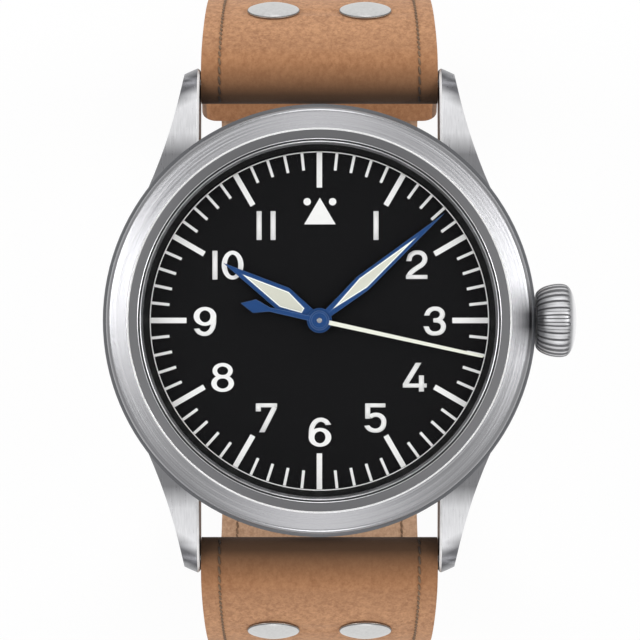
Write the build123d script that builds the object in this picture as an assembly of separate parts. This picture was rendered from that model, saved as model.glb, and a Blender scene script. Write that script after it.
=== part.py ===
from build123d import *
import math
import os

os.makedirs("parts", exist_ok=True)

# Frame: the hands turn about Z, +Y is 12 o'clock, +X is the crown, z = 0 is the case back's outer face.
overrun = 2.0        # how far a cutter runs past the face that it cuts
run_gap = 0.04       # radial clearance of a running fit
seat_gap = 0.05      # radial clearance of a piece that drops into a seat
soft_gap = 0.3       # clearance round leather

# Crystal and its gasket; the case is sized from the crystal outwards
crystal_r = 16.15
crystal_bottom = 8.5
crystal_edge_z = 9.35
crystal_top = 9.7
crystal_bevel = 0.2
crystal_seal_wall = 0.3

# Case
case_wall = 3.65
case_r = crystal_r + case_wall
case_bottom = 0.9
case_top = 7.0
case_foot_step = 2.4
case_foot_r = case_r - case_foot_step
case_foot_rise = 1.5
case_edge = 0.3
bore_step = 0.3
movement_bore_r = crystal_r + bore_step
back_bore_step = 0.5
back_bore_r = movement_bore_r - back_bore_step
back_bore_top = 2.6

# Lugs
lug_gap = 22.1
lug_reach = 6.1
lug_tip_r = case_r + lug_reach
lug_tip_width = 1.4
lug_root_angle = 33.5
lug_flank_r = 47.0
lug_root_y = 8.0
lug_knee_step = 0.6
lug_knee_y = case_r + lug_knee_step
lug_knee_z = 5.5
lug_nose_step = 4.2
lug_nose_y = case_r + lug_nose_step
lug_nose_z = 1.9
crest_share = 0.62
lug_under_z = 0.45
lug_bevel = 0.22

# Bezel
bezel_step = 0.47
bezel_r = case_r - bezel_step
bezel_top = 9.6
bezel_shoulder_z = 8.7
bezel_bevel = 0.44
bezel_flat_r = bezel_r - bezel_bevel
bezel_flat_z = 9.3
bezel_lip_r = crystal_r + crystal_seal_wall + seat_gap
bezel_lip_z = 9.3
bezel_slope_width = 0.82
bezel_crest_r = bezel_lip_r + bezel_slope_width
bezel_spigot_wall = 0.75
bezel_spigot_r = bezel_lip_r + bezel_spigot_wall
bezel_spigot_depth = 0.7

# Chapter wall round the dial
chapter_mouth_step = 0.2
chapter_mouth_r = crystal_r - chapter_mouth_step
chapter_slope = 0.35
chapter_foot_r = chapter_mouth_r - chapter_slope
chapter_land = 0.1

# Dial
dial_thick = 0.4
dial_foot_r = 0.4
dial_foot_length = 1.2
dial_foot_inset = 1.4
dial_foot_angles = (40.0, 220.0)

# Case back
back_step = 0.2
back_r = case_foot_r - back_step
back_thick = 1.2
back_edge = 0.5
back_thread_wall = 0.9
back_thread_top = 2.3
notch_count = 6
notch_width = 3.2
notch_depth = 0.5
notch_length = 2.2
back_seal_step = 0.3
back_seal_in_r = back_bore_r + back_seal_step
back_seal_wall = 0.5
back_seal_thick = 0.4

# Crown, tube and stem
crown_z = 4.5
crown_gap = 0.15
crown_length = 3.7
crown_r = 3.4
crown_base_r = 2.6
crown_end_r = 3.17
crown_belly_x = 1.9
crown_shoulder_x = 2.95
flute_count = 30
flute_depth = 0.26
flute_turn_shares = (-0.3, 0.3, 0.44, 0.56)
crown_station_shares = (0.0, 0.2, 0.42, 0.62, 0.82, 1.0)
crown_hollow_r = 1.8
crown_hollow_depth = 1.9
crown_post_r = 0.72
tube_r = 1.25
tube_bore_r = 0.8
tube_depth = 2.4
tube_inner_x = case_r - tube_depth
tube_reach = 1.5
tube_outer_x = case_r + tube_reach
stem_r = 0.5
crown_seal_wall = 0.45
crown_seal_width = 0.6
crown_seal_step = 0.75
crown_seal_x = case_r + crown_seal_step

# Movement
casing_wall = 3.65
movement_r = movement_bore_r - casing_wall
plate_bottom = 3.4
plate_top = 5.9
bridge_thick = 0.9
motion_recess_r = 6.9
motion_recess_depth = 0.75
movement_ring_wall = 1.6
post_r = 0.42
post_bore_r = 0.24
screw_r = 0.75
screw_head = 0.3
screw_shank_r = 0.4
screw_length = 1.2
screw_inset = 1.5
screw_place_r = movement_r - screw_inset
screw_angles = (15.0, 100.0, 150.0, 285.0)

# Winding pinion on the stem
stem_depth = 5.2
stem_inner_x = movement_r - stem_depth
winding_teeth = 16
winding_module = 0.12
winding_thick = 1.0
winding_inset = 1.8
winding_x = movement_r - winding_inset
winding_pocket_gap = 0.15

# Motion works under the dial
cannon_leaves = 12
minute_wheel_teeth = 36
hour_wheel_teeth = 48
minute_pinion_leaves = 12
cannon_module = 0.15
hour_module = 0.12
motion_angle = 205.0
wheel_thick = 0.25
level_gap = 0.08
cannon_tube_r = 0.6
hour_tube_r = 0.85
minute_stud_r = 0.25
arbor_r = 0.2

# Hands
hand_thick = 0.14
hand_level_gap = 0.16
hour_hand_z = 7.4
hour_hand_angle = 300.9
minute_hand_angle = 49.4
seconds_hand_angle = 102.4
hour_hub_r = 1.3
minute_hub_r = 1.16
seconds_hub_r = 0.87

# Rotor and balance
rotor_gap = 0.5
rotor_r = movement_r - rotor_gap
rotor_rim = 2.4
rotor_bottom = 1.4
rotor_plate_thick = 0.4
rotor_rim_thick = 0.9
rotor_hub_r = 2.6
bearing_r = 2.0
bearing_screw_r = 0.9
balance_share = 0.328
balance_r = movement_r * balance_share
balance_rim = 0.6
balance_thick = 0.35
balance_inset = 5.02
balance_angle = 226.04
balance_z = 3.0
balance_room = 0.45
balance_staff_r = 0.25
balance_arm = 0.5
cock_thick = 0.35
cock_width = 3.0

# Strap
lug_play = 0.1
strap_thick = 2.5
upper_thick = 1.7
fold_r = 1.9
bar_step = 2.25
bar_y = case_r + bar_step
bar_z = 2.3
bar_r = 0.75
bar_tip_r = 0.4
bar_tip_length = 0.8
shoulder_r = 4.0
shoulder_turn = 55.0
side_r = 40.0
side_turn = 55.0
heel_r = 16.0
heel_turn = 70.0
pad_turn = 8.6
tail_turn = 56.0
tail_corner_r = 7.0
strap_end_width = 21.2

# Rivets
rivet_r = 2.5
rivet_dome = 0.55
rivet_edge = 0.22
rivet_post_r = 0.9
rivet_cap_r = 1.7
rivet_cap_thick = 0.4
rivet_spacing = 8.8
rivet_turn = 12.6

# Buckle
pin_bar_y = -3.5
pin_bar_r = 0.7
pin_bar_wall = 0.1
arm_wall = 1.6
arm_rise = 1.0
buckle_corner = 3.0
front_bar_y = -17.5
front_bar_width = 2.6
front_bar_height = 1.9
tongue_width = 2.0
tongue_thick = 0.8
tongue_rest = 0.28
tongue_knee_step = 1.0
tongue_bend_step = 0.85
tongue_bend_share = 0.25
tongue_eye_r = 1.25
tongue_notch_gap = 0.25
tongue_overhang = 0.4
slot_y = -7.05
slot_length = 3.9
holes_before = 1
holes_after = 4
hole_r = 1.0
hole_pitch = 6.5
keeper_width = 5.0
keeper_thin = 1.0
keeper_outer_thick = 1.15
free_keeper_width = 4.2
free_keeper_thick = 0.9
fixed_keeper_y = 5.0
free_keeper_turn = 42.0
free_keeper_slide = 1.0
keeper_corner = 1.6
keeper_side_gap = 1.0
keeper_side_wall = 1.1


def save(node, *solids):
    shape = solids[0] if len(solids) == 1 else Compound(children=list(solids))
    export_step(shape, f"parts/{node}.step")


def turned(*outline):
    """A solid of revolution about Z from (r, z) corners."""
    return revolve(Plane.XZ * make_face(Polyline(*outline, close=True)), Axis.Z)


def disc(radius, bottom, top):
    return Pos(0, 0, bottom) * Cylinder(radius, top - bottom, align=(Align.CENTER, Align.CENTER, Align.MIN))


def tube(outer, inner, bottom, top):
    return disc(outer, bottom, top) - disc(inner, bottom, top)


def polar(radius, degrees):
    return radius * math.cos(math.radians(degrees)), radius * math.sin(math.radians(degrees))


def rod(radius, start, end, height):
    """A round bar along X at the given height."""
    return Pos(start, 0, height) * Rot(0, 90, 0) * Cylinder(
        radius, end - start, align=(Align.CENTER, Align.CENTER, Align.MIN))


def cross_rod(radius, half_length, y, z):
    """A round bar along X, centred on the middle plane."""
    return Pos(0, y, z) * Rot(0, 90, 0) * Cylinder(radius, half_length * 2)


# Mid-case and lugs
rebate_r = bezel_spigot_r + seat_gap
bar_hole_r = bar_tip_r + run_gap
lug_wall_x = lug_gap / 2


def case_body():
    foot_z = case_bottom + case_foot_rise
    rebate_z = case_top - bezel_spigot_depth
    return turned(
        (back_bore_r, case_bottom), (case_foot_r, case_bottom), (case_r, foot_z),
        (case_r, case_top - case_edge), (case_r - case_edge, case_top), (rebate_r, case_top),
        (rebate_r, rebate_z), (movement_bore_r, rebate_z), (movement_bore_r, back_bore_top),
        (back_bore_r, back_bore_top))


def lug_plan():
    """One lug seen from above: a straight inner wall, a round tip and a hollow outer flank."""
    outer_x = lug_wall_x + lug_tip_width
    inner_tip = (lug_wall_x, math.sqrt(lug_tip_r ** 2 - lug_wall_x ** 2))
    outer_tip = (outer_x, math.sqrt(lug_tip_r ** 2 - outer_x ** 2))
    middle = (inner_tip[0] + outer_tip[0]) / 2
    crown_of_tip = (middle, math.sqrt(lug_tip_r ** 2 - middle ** 2))
    root = polar(case_r - case_edge, lug_root_angle)
    flank = RadiusArc(outer_tip, root, -lug_flank_r, short_sagitta=True)
    return make_face([
        Line((lug_wall_x, lug_root_y), inner_tip),
        ThreePointArc(inner_tip, crown_of_tip, outer_tip),
        flank,
        Line(root, (root[0], lug_root_y)),
        Line((root[0], lug_root_y), (lug_wall_x, lug_root_y))])


def lug_side():
    """The lug's side view: a gentle slope, a knee and a steep rounded nose."""
    knee = (lug_knee_y, lug_knee_z)
    nose = (lug_nose_y, lug_nose_z)
    start = (lug_root_y, case_top)
    crest = ((lug_root_y + lug_knee_y) / 2, case_top * crest_share + lug_knee_z * (1 - crest_share))
    slope = ThreePointArc(start, crest, knee)
    fall = TangentArc(knee, nose, tangent=slope % 1)
    return make_face([
        slope,
        fall,
        Line(nose, (lug_nose_y, lug_under_z)),
        Line((lug_nose_y, lug_under_z), (case_foot_r, case_bottom)),
        Line((case_foot_r, case_bottom), (lug_root_y, case_bottom)),
        Line((lug_root_y, case_bottom), start)])


def one_lug():
    plan = extrude(lug_plan(), case_top)
    side = extrude(Plane.YZ * lug_side(), case_r)
    lug = plan & side
    edges = [e for e in lug.edges() if abs(e.center().X - lug_wall_x) < seat_gap and e.center().Z > lug_nose_z
             and abs(e.center().Y - lug_root_y) > seat_gap]
    return chamfer(edges, lug_bevel)


def mid_case():
    lug = one_lug() - disc(movement_bore_r + seat_gap, 0, case_top + overrun)
    lug -= Pos(0, bar_y, bar_z) * Rot(0, 90, 0) * Cylinder(bar_hole_r, lug_gap + bar_tip_length * 2)
    right = lug + mirror(lug, Plane.XZ)
    body = case_body() + right + mirror(right, Plane.YZ)
    body -= disc(rebate_r, case_top - bezel_spigot_depth, case_top + overrun)
    body -= tube(back_seal_in_r + back_seal_wall + seat_gap, back_seal_in_r - seat_gap,
                 0, case_bottom + back_seal_thick)
    body -= rod(tube_r + run_gap / 2, 0, case_r + overrun, crown_z)
    return body


def bezel():
    lip = bezel_lip_r - seat_gap
    foot_z = case_top - bezel_spigot_depth
    return turned(
        (lip, foot_z), (bezel_spigot_r, foot_z), (bezel_spigot_r, case_top), (bezel_r, case_top),
        (bezel_r, bezel_shoulder_z), (bezel_flat_r, bezel_flat_z), (bezel_crest_r, bezel_top),
        (bezel_lip_r, bezel_lip_z), (lip, bezel_lip_z))


save("mid_case", mid_case())
save("bezel", bezel())


# Pieces over the dial
def crystal():
    return turned((0, crystal_bottom), (crystal_r, crystal_bottom), (crystal_r, crystal_edge_z),
                  (crystal_r - crystal_bevel, crystal_top), (0, crystal_top))


def crystal_gasket():
    return tube(bezel_lip_r - seat_gap, crystal_r, crystal_bottom, crystal_edge_z)


def chapter_ring():
    foot_z = case_top
    outer = movement_bore_r - seat_gap
    return turned((chapter_foot_r, foot_z), (outer, foot_z), (outer, crystal_bottom),
                  (chapter_mouth_r, crystal_bottom), (chapter_foot_r, foot_z + chapter_land))


def dial():
    bottom = case_top - dial_thick
    plate = disc(movement_bore_r - seat_gap, bottom, case_top)
    plate -= disc(hour_tube_r + lug_play, bottom, case_top)
    for angle in dial_foot_angles:
        x, y = polar(movement_r - dial_foot_inset, angle)
        plate += Pos(x, y, 0) * disc(dial_foot_r, bottom - dial_foot_length, bottom)
    return plate


save("crystal", crystal())
save("crystal_gasket", crystal_gasket())
save("chapter_ring", chapter_ring())
save("dial", dial())


# Case back
def case_back():
    thread_r = back_bore_r - seat_gap
    plate = turned((0, 0), (back_r - back_edge, 0), (back_r, back_edge), (back_r, case_bottom),
                   (thread_r, case_bottom), (thread_r, back_thread_top),
                   (thread_r - back_thread_wall, back_thread_top), (thread_r - back_thread_wall, back_thick),
                   (0, back_thick))
    notch = Pos(back_r, 0, 0) * Box(notch_length * 2, notch_width, notch_depth * 2)
    for index in range(notch_count):
        plate -= Rot(0, 0, index * 360 / notch_count) * notch
    return plate


save("case_back", case_back())
save("case_back_gasket", tube(back_seal_in_r + back_seal_wall, back_seal_in_r, case_bottom,
                              case_bottom + back_seal_thick))


# Crown
crown_base_x = case_r + crown_gap
crown_end_x = crown_base_x + crown_shoulder_x


def onion_radius(x):
    """The outline's radius: one arc through the base, the belly and the shoulder."""
    x1, y1 = 0, crown_base_r
    x2, y2 = crown_belly_x, crown_r
    x3, y3 = crown_shoulder_x, crown_end_r
    twice = 2 * (x1 * (y2 - y3) + x2 * (y3 - y1) + x3 * (y1 - y2))
    squares = (x1 ** 2 + y1 ** 2, x2 ** 2 + y2 ** 2, x3 ** 2 + y3 ** 2)
    mid_x = (squares[0] * (y2 - y3) + squares[1] * (y3 - y1) + squares[2] * (y1 - y2)) / twice
    mid_y = (squares[0] * (x3 - x2) + squares[1] * (x1 - x3) + squares[2] * (x2 - x1)) / twice
    return mid_y + math.sqrt((x1 - mid_x) ** 2 + (y1 - mid_y) ** 2 - (x - mid_x) ** 2)


def fluted_section(x):
    """The crown's cross-section at x: broad lands with a narrow groove between each two."""
    land_r = onion_radius(x)
    step = 360 / flute_count
    places = []
    for index in range(flute_count):
        for turn_share, depth in zip(flute_turn_shares, (0, 0, flute_depth, flute_depth)):
            places.append(polar(land_r - depth, (index + turn_share) * step))
    face = make_face(Polyline(*places, close=True))
    return Plane(origin=(crown_base_x + x, 0, 0), x_dir=(0, 1, 0), z_dir=(1, 0, 0)) * face


def crown_blank():
    """A ruled loft through the fluted sections, closed by a smooth domed end."""
    sections = [fluted_section(crown_shoulder_x * share) for share in crown_station_shares]
    rim = crown_end_r - flute_depth
    depth = crown_length - crown_shoulder_x
    dome_r = (rim ** 2 + depth ** 2) / (2 * depth)
    half = math.asin(rim / dome_r) / 2
    tip = (crown_end_x + depth, 0)
    dome_mid = (tip[0] - dome_r + dome_r * math.cos(half), dome_r * math.sin(half))
    face = make_face([
        Line((crown_end_x, 0), (crown_end_x, rim)),
        ThreePointArc((crown_end_x, rim), dome_mid, tip),
        Line(tip, (crown_end_x, 0))])
    return loft(sections, ruled=True) + revolve(Plane.XZ * face, Axis.X)


def crown():
    body = crown_blank()
    hollow_end = crown_base_x + crown_hollow_depth
    hollow = rod(crown_hollow_r, crown_base_x - overrun, hollow_end, 0)
    post_start = crown_base_x + crown_hollow_depth / 4
    hollow -= rod(crown_post_r, post_start, hollow_end + overrun, 0)
    body -= hollow
    body -= rod(stem_r, post_start - overrun, hollow_end, 0)
    return Pos(0, 0, crown_z) * body


def crown_tube():
    return rod(tube_r, tube_inner_x, tube_outer_x, crown_z) - rod(
        tube_bore_r, tube_inner_x - overrun, tube_outer_x + overrun, crown_z)


def crown_gasket():
    end = crown_seal_x + crown_seal_width
    ring = rod(tube_r + crown_seal_wall, crown_seal_x, end, crown_z)
    return ring - rod(tube_r + run_gap, crown_seal_x - overrun, end + overrun, crown_z)


save("crown", crown())
save("crown_tube", crown_tube())
save("crown_gasket", crown_gasket())
save("winding_stem", rod(stem_r, stem_inner_x, crown_base_x + crown_hollow_depth, crown_z))


# Gears
root_share = 1.3
tip_share = 0.9
root_spread_share = 1.5
tip_spread_share = 0.45


def gear_face(teeth, module, tooth_share, phase):
    """A spur gear outline with straight-sided teeth; phase is the angle of the first tooth's middle."""
    pitch_r = teeth * module / 2
    root_r = pitch_r - module * root_share
    tip_r = pitch_r + module * tip_share
    step = 360 / teeth
    at_pitch = step * tooth_share / 2
    places = []
    for index in range(teeth):
        middle = phase + index * step
        for radius, share in ((root_r, -root_spread_share), (tip_r, -tip_spread_share),
                              (tip_r, tip_spread_share), (root_r, root_spread_share)):
            places.append(polar(radius, middle + at_pitch * share))
    return make_face(Polyline(*places, close=True))


def gear(teeth, module, tooth_share, phase, bottom, thick):
    return extrude(Pos(0, 0, bottom) * gear_face(teeth, module, tooth_share, phase), thick)


wheel_tooth_share = 0.46
leaf_share = 0.34
motion_centre = (cannon_leaves + minute_wheel_teeth) * cannon_module / 2
motion_x, motion_y = polar(motion_centre, motion_angle)
motion_floor = plate_top - motion_recess_depth
low_gear_z = motion_floor + level_gap
minute_pinion_z = low_gear_z + wheel_thick
hour_wheel_z = minute_pinion_z + level_gap + wheel_thick / 2
hour_hub_top = hour_hand_z + hand_thick
minute_hand_z = hour_hub_top + hand_level_gap
minute_hub_top = minute_hand_z + hand_thick
seconds_hand_z = minute_hub_top + hand_level_gap
seconds_top = seconds_hand_z + hand_thick


def cannon_pinion():
    leaves = gear(cannon_leaves, cannon_module, leaf_share, motion_angle, low_gear_z, wheel_thick)
    body = leaves + disc(cannon_tube_r, low_gear_z, minute_hub_top)
    return body - disc(post_r + run_gap, low_gear_z - overrun, minute_hub_top + overrun)


def minute_wheel():
    step = 360 / minute_wheel_teeth
    wheel = gear(minute_wheel_teeth, cannon_module, wheel_tooth_share, motion_angle + 180 + step / 2,
                 low_gear_z, wheel_thick)
    pinion_top = hour_wheel_z + wheel_thick + level_gap
    wheel += gear(minute_pinion_leaves, hour_module, leaf_share, motion_angle + 180,
                  minute_pinion_z, pinion_top - minute_pinion_z)
    wheel -= disc(minute_stud_r + run_gap, low_gear_z - overrun, pinion_top + overrun)
    return Pos(motion_x, motion_y, 0) * wheel


def hour_wheel():
    step = 360 / hour_wheel_teeth
    wheel = gear(hour_wheel_teeth, hour_module, wheel_tooth_share, motion_angle + step / 2,
                 hour_wheel_z, wheel_thick)
    wheel += disc(hour_tube_r, hour_wheel_z, hour_hub_top)
    return wheel - disc(cannon_tube_r + run_gap, hour_wheel_z - overrun, hour_hub_top + overrun)


def seconds_arbor():
    return disc(arbor_r, plate_bottom, seconds_top + hand_thick)


save("cannon_pinion", cannon_pinion())
save("minute_wheel", minute_wheel())
save("hour_wheel", hour_wheel())
save("seconds_arbor", seconds_arbor())


# Hands as shares of the dial's seen radius, drawn pointing to 12 and turned to the time in the photograph
hour_blade_shares = ((0.0297, 0.0), (0.0732, 0.2461), (0.0, 0.6562))
hour_window_shares = ((0.0158, 0.1117), (0.0505, 0.2397), (0.0, 0.523))
minute_blade_shares = ((0.0208, 0.0), (0.0505, 0.3344), (0.0, 0.9653))
minute_window_shares = ((0.0, 0.1047), (0.0341, 0.3363), (0.0, 0.7401))
seconds_blade_shares = ((0.0132, 0.0), (0.0088, 0.9716), (0.0, 0.9811))
seconds_tail_shares = ((0.0151, 0.0), (0.012, 0.2965), (0.041, 0.3874), (0.0, 0.4707))


def blade(shares):
    """A flat blade on both sides of its middle line, from (half width, distance) shares."""
    right = [(half * chapter_foot_r, reach * chapter_foot_r) for half, reach in shares]
    left = [(-half, reach) for half, reach in reversed(right) if half > 0]
    return extrude(make_face(Polyline(*right, *left, close=True)), hand_thick)


def at_time(shape, angle, height):
    return Pos(0, 0, height) * Rot(0, 0, -angle) * shape


def hour_hand():
    body = blade(hour_blade_shares) - blade(hour_window_shares)
    body += disc(hour_hub_r, 0, hand_thick)
    body -= disc(hour_tube_r, -overrun, overrun)
    return at_time(body, hour_hand_angle, hour_hand_z)


def minute_hand():
    body = blade(minute_blade_shares) - blade(minute_window_shares)
    body += disc(minute_hub_r, 0, hand_thick)
    body -= disc(cannon_tube_r, -overrun, overrun)
    return at_time(body, minute_hand_angle, minute_hand_z)


def seconds_hand():
    body = Rot(0, 0, 180) * blade(seconds_tail_shares) + disc(seconds_hub_r, 0, hand_thick)
    body -= disc(arbor_r, -overrun, overrun)
    return at_time(body, seconds_hand_angle, seconds_hand_z)


def seconds_lume():
    bar = blade(seconds_blade_shares) - disc(seconds_hub_r, -overrun, overrun)
    return at_time(bar, seconds_hand_angle, seconds_hand_z)


save("hour_hand", hour_hand())
save("hour_hand_lume", at_time(blade(hour_window_shares), hour_hand_angle, hour_hand_z))
save("minute_hand", minute_hand())
save("minute_hand_lume", at_time(blade(minute_window_shares), minute_hand_angle, minute_hand_z))
save("seconds_hand", seconds_hand())
save("seconds_hand_lume", seconds_lume())


# Movement
balance_x, balance_y = polar(movement_r - balance_inset, balance_angle)
bridge_bottom = plate_bottom - bridge_thick
stem_room_r = stem_r + run_gap * 2
winding_r = winding_teeth * winding_module / 2 + winding_module
screw_places = [polar(screw_place_r, angle) for angle in screw_angles]


def movement_ring():
    ring = tube(movement_bore_r - seat_gap, movement_r + seat_gap, back_bore_top, case_top - dial_thick)
    ring -= rod(stem_room_r + run_gap, 0, case_r, crown_z)
    return ring


def mainplate():
    plate = disc(movement_r, plate_bottom, plate_top)
    plate += tube(movement_r, movement_r - movement_ring_wall, plate_top, case_top - dial_thick)
    plate -= disc(motion_recess_r, motion_floor, plate_top + overrun)
    plate += disc(post_r, motion_floor, seconds_hand_z - level_gap)
    plate += Pos(motion_x, motion_y, 0) * disc(minute_stud_r, motion_floor, hour_wheel_z + wheel_thick)
    plate -= disc(post_bore_r, plate_bottom - overrun, seconds_hand_z + overrun)
    plate -= rod(stem_r + run_gap, stem_inner_x - winding_pocket_gap, movement_r + overrun, crown_z)
    pocket_r = winding_r + winding_pocket_gap
    plate -= Pos(winding_x + winding_thick / 2, 0, crown_z) * Box(
        winding_thick + winding_pocket_gap, pocket_r * 2, pocket_r * 2)
    plate -= Pos(balance_x, balance_y, 0) * disc(balance_r + balance_room, 0, plate_bottom + balance_room)
    staff_hole = disc(balance_staff_r + run_gap, 0, plate_bottom + balance_room * 3)
    plate -= Pos(balance_x, balance_y, 0) * staff_hole
    for angle in dial_foot_angles:
        x, y = polar(movement_r - dial_foot_inset, angle)
        plate -= Pos(x, y, 0) * disc(dial_foot_r + run_gap,
                                     case_top - dial_thick - dial_foot_length - seat_gap, case_top)
    for x, y in screw_places:
        plate -= Pos(x, y, 0) * disc(screw_shank_r + run_gap, 0, bridge_bottom + screw_length + seat_gap)
    return plate


def train_bridge():
    body = disc(movement_r - seat_gap, bridge_bottom, plate_bottom)
    body -= Pos(balance_x, balance_y, 0) * disc(balance_r + balance_room, 0, plate_top)
    for x, y in screw_places:
        body -= Pos(x, y, 0) * disc(screw_shank_r + run_gap, 0, plate_bottom + overrun)
        body -= Pos(x, y, 0) * disc(screw_r + run_gap, 0, bridge_bottom + screw_head)
    body -= disc(bearing_screw_r + run_gap, 0, plate_bottom + overrun)
    return body


def balance_cock():
    """A bar over the balance wheel, from a seat on the bridge to the staff's pivot."""
    turn = math.degrees(math.atan2(balance_y, balance_x))
    reach = balance_r + balance_room
    bar = Pos(0, 0, bridge_bottom) * Box(reach * 2, cock_width, cock_thick,
                                         align=(Align.CENTER, Align.CENTER, Align.MIN))
    bar &= disc(reach, 0, plate_top)
    bar -= disc(balance_staff_r - seat_gap, 0, bridge_bottom + cock_thick / 2)
    bar = Rot(0, 0, turn + 90) * bar
    return Pos(balance_x, balance_y, 0) * bar


def balance_wheel():
    rim = tube(balance_r, balance_r - balance_rim, balance_z, balance_z + balance_thick)
    arms = Pos(0, 0, balance_z) * Box(balance_r * 2 - balance_rim, balance_arm, balance_thick / 2,
                                      align=(Align.CENTER, Align.CENTER, Align.MIN))
    staff = disc(balance_staff_r, bridge_bottom + cock_thick + level_gap, plate_bottom + balance_room * 2)
    boss = disc(balance_arm, balance_z, balance_z + balance_thick)
    return Pos(balance_x, balance_y, 0) * (rim + arms + staff + boss)


def movement_screw():
    slot = Box(screw_r * 2, screw_head, screw_head / 2)
    screw = disc(screw_r, bridge_bottom, bridge_bottom + screw_head)
    screw += disc(screw_shank_r, bridge_bottom, bridge_bottom + screw_length)
    return screw - Pos(0, 0, bridge_bottom) * slot


def rotor():
    rim_bottom = rotor_bottom
    top = rotor_bottom + rotor_rim_thick
    plate = disc(rotor_r, top - rotor_plate_thick, top)
    plate += tube(rotor_r, rotor_r - rotor_rim, rim_bottom, top)
    half = Pos(0, -rotor_r, rim_bottom) * Box(rotor_r * 2 + overrun, rotor_r * 2, rotor_rim_thick,
                                             align=(Align.CENTER, Align.CENTER, Align.MIN))
    weight = plate & half
    weight += disc(rotor_hub_r, top - rotor_plate_thick, top)
    return weight - disc(bearing_r + run_gap, 0, top + overrun)


def rotor_bearing():
    top = bridge_bottom
    ring = tube(bearing_r, bearing_screw_r, rotor_bottom + rotor_rim_thick - rotor_plate_thick, top)
    return ring


def bearing_screw():
    low = rotor_bottom + rotor_rim_thick - rotor_plate_thick
    return disc(bearing_screw_r, low, plate_bottom - seat_gap)


def winding_pinion():
    wheel = Rot(0, 90, 0) * gear(winding_teeth, winding_module, wheel_tooth_share, 0, 0, winding_thick)
    wheel = Pos(winding_x, 0, crown_z) * wheel
    return wheel - rod(stem_r + run_gap, winding_x - overrun, winding_x + winding_thick + overrun, crown_z)


save("movement_ring", movement_ring())
save("mainplate", mainplate())
save("train_bridge", train_bridge())
save("balance_cock", balance_cock())
save("balance_wheel", balance_wheel())
save("movement_screws", *[Pos(x, y, 0) * movement_screw() for x, y in screw_places])
save("rotor", rotor())
save("rotor_bearing", rotor_bearing())
save("bearing_screw", bearing_screw())
save("winding_pinion", winding_pinion())


# Strap path, drawn in the YZ plane for the 12 o'clock piece and mirrored for the other
def heading_vector(heading):
    """Unit travel direction and inward normal for a heading turned down from +Y."""
    angle = math.radians(heading)
    return (math.cos(angle), -math.sin(angle)), (-math.sin(angle), -math.cos(angle))


def trail(runs, inset):
    """Edges of an offset path; runs are ("arc", radius, turn) or ("flat", length)."""
    here = (bar_y, bar_z + fold_r)
    heading = 0.0
    edges = []
    ends = []
    for run in runs:
        travel, inward = heading_vector(heading)
        begin = (here[0] + inward[0] * inset, here[1] + inward[1] * inset)
        if run[0] == "flat":
            here = (here[0] + travel[0] * run[1], here[1] + travel[1] * run[1])
            finish = (here[0] + inward[0] * inset, here[1] + inward[1] * inset)
            edges.append(Line(begin, finish))
        else:
            radius, turn = run[1], run[2]
            centre = (here[0] + inward[0] * radius, here[1] + inward[1] * radius)
            middle_inward = heading_vector(heading + turn / 2)[1]
            end_inward = heading_vector(heading + turn)[1]
            here = (centre[0] - end_inward[0] * radius, centre[1] - end_inward[1] * radius)
            reach = radius - inset
            middle = (centre[0] - middle_inward[0] * reach, centre[1] - middle_inward[1] * reach)
            finish = (centre[0] - end_inward[0] * reach, centre[1] - end_inward[1] * reach)
            edges.append(ThreePointArc(begin, middle, finish))
            heading += turn
        ends.append((here, heading, finish))
    return edges, ends


shoulder = ("arc", shoulder_r, shoulder_turn)
side_pad = ("arc", side_r, pad_turn)
side_rest = ("arc", side_r, side_turn - pad_turn)
pad_runs = [shoulder, side_pad]
side_runs = pad_runs + [side_rest]
side_ends = trail(side_runs, 0)[1]
side_end_y, side_end_z = side_ends[-1][0]
open_turn = math.radians(shoulder_turn + side_turn - 90)
rise_share = 1 - math.sin(open_turn)
floor_12 = side_end_z - heel_r * rise_share
flat_12_y = side_end_y - heel_r * math.cos(open_turn)
floor_6 = floor_12 - strap_thick - soft_gap
heel_6_r = (side_end_z - floor_6) / rise_share
flat_6_y = side_end_y - heel_6_r * math.cos(open_turn)
tail_r = heel_r + strap_thick + soft_gap
pin_bar_z = floor_12 + strap_thick / 2
strap_width = lug_gap - lug_play * 2


def strip(edges):
    """A closed YZ outline as a slab across the strap's width."""
    return extrude(Plane.YZ * make_face(edges), strap_width / 2, both=True)


def width_at(height):
    """The strap's width at a height, by the taper of its outline seen along Y."""
    top = bar_z - fold_r
    share = (top - height) / (top - floor_6)
    return strap_width - (strap_width - strap_end_width) * share


def width_limit():
    """The strap seen along Y: full width at the lugs, narrower at the buckle."""
    wide = strap_width / 2
    top = bar_z + fold_r + overrun
    low = floor_6 - overrun
    narrow = width_at(low) / 2
    face = make_face(Polyline((-wide, top), (wide, top), (wide, bar_z - fold_r),
                              (narrow, low), (-narrow, low), (-wide, bar_z - fold_r), close=True))
    return extrude(Plane.XZ * face, side_end_y + side_r, both=True)


limit = width_limit()
fold_bottom = (bar_y, bar_z - fold_r)
fold_back = (bar_y - fold_r, bar_z)
fold_top = (bar_y, bar_z + fold_r)
heel_12 = ("arc", heel_r, heel_turn)
flat_12 = ("flat", flat_12_y - pin_bar_y)
heel_6 = ("arc", heel_6_r, heel_turn)
flat_6 = ("flat", flat_6_y + flat_12_y)
tail = ("arc", tail_r, tail_turn)


def leather(outer_runs, inner_runs, end_edges):
    """Outer skin from the fold round the spring bar to the far end, as a closed outline."""
    outer = trail(side_runs + outer_runs, 0)[0]
    inner = trail(side_runs + inner_runs, upper_thick)[0]
    pad_end = trail(pad_runs, upper_thick)[1][-1][2]
    pad_foot = trail(pad_runs, strap_thick)[1][-1][2]
    pad = [Line(pad_end, pad_foot), Line(pad_foot, fold_bottom)]
    fold = ThreePointArc(fold_bottom, fold_back, fold_top)
    return strip(outer + end_edges + inner[len(pad_runs):] + pad + [fold])


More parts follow.
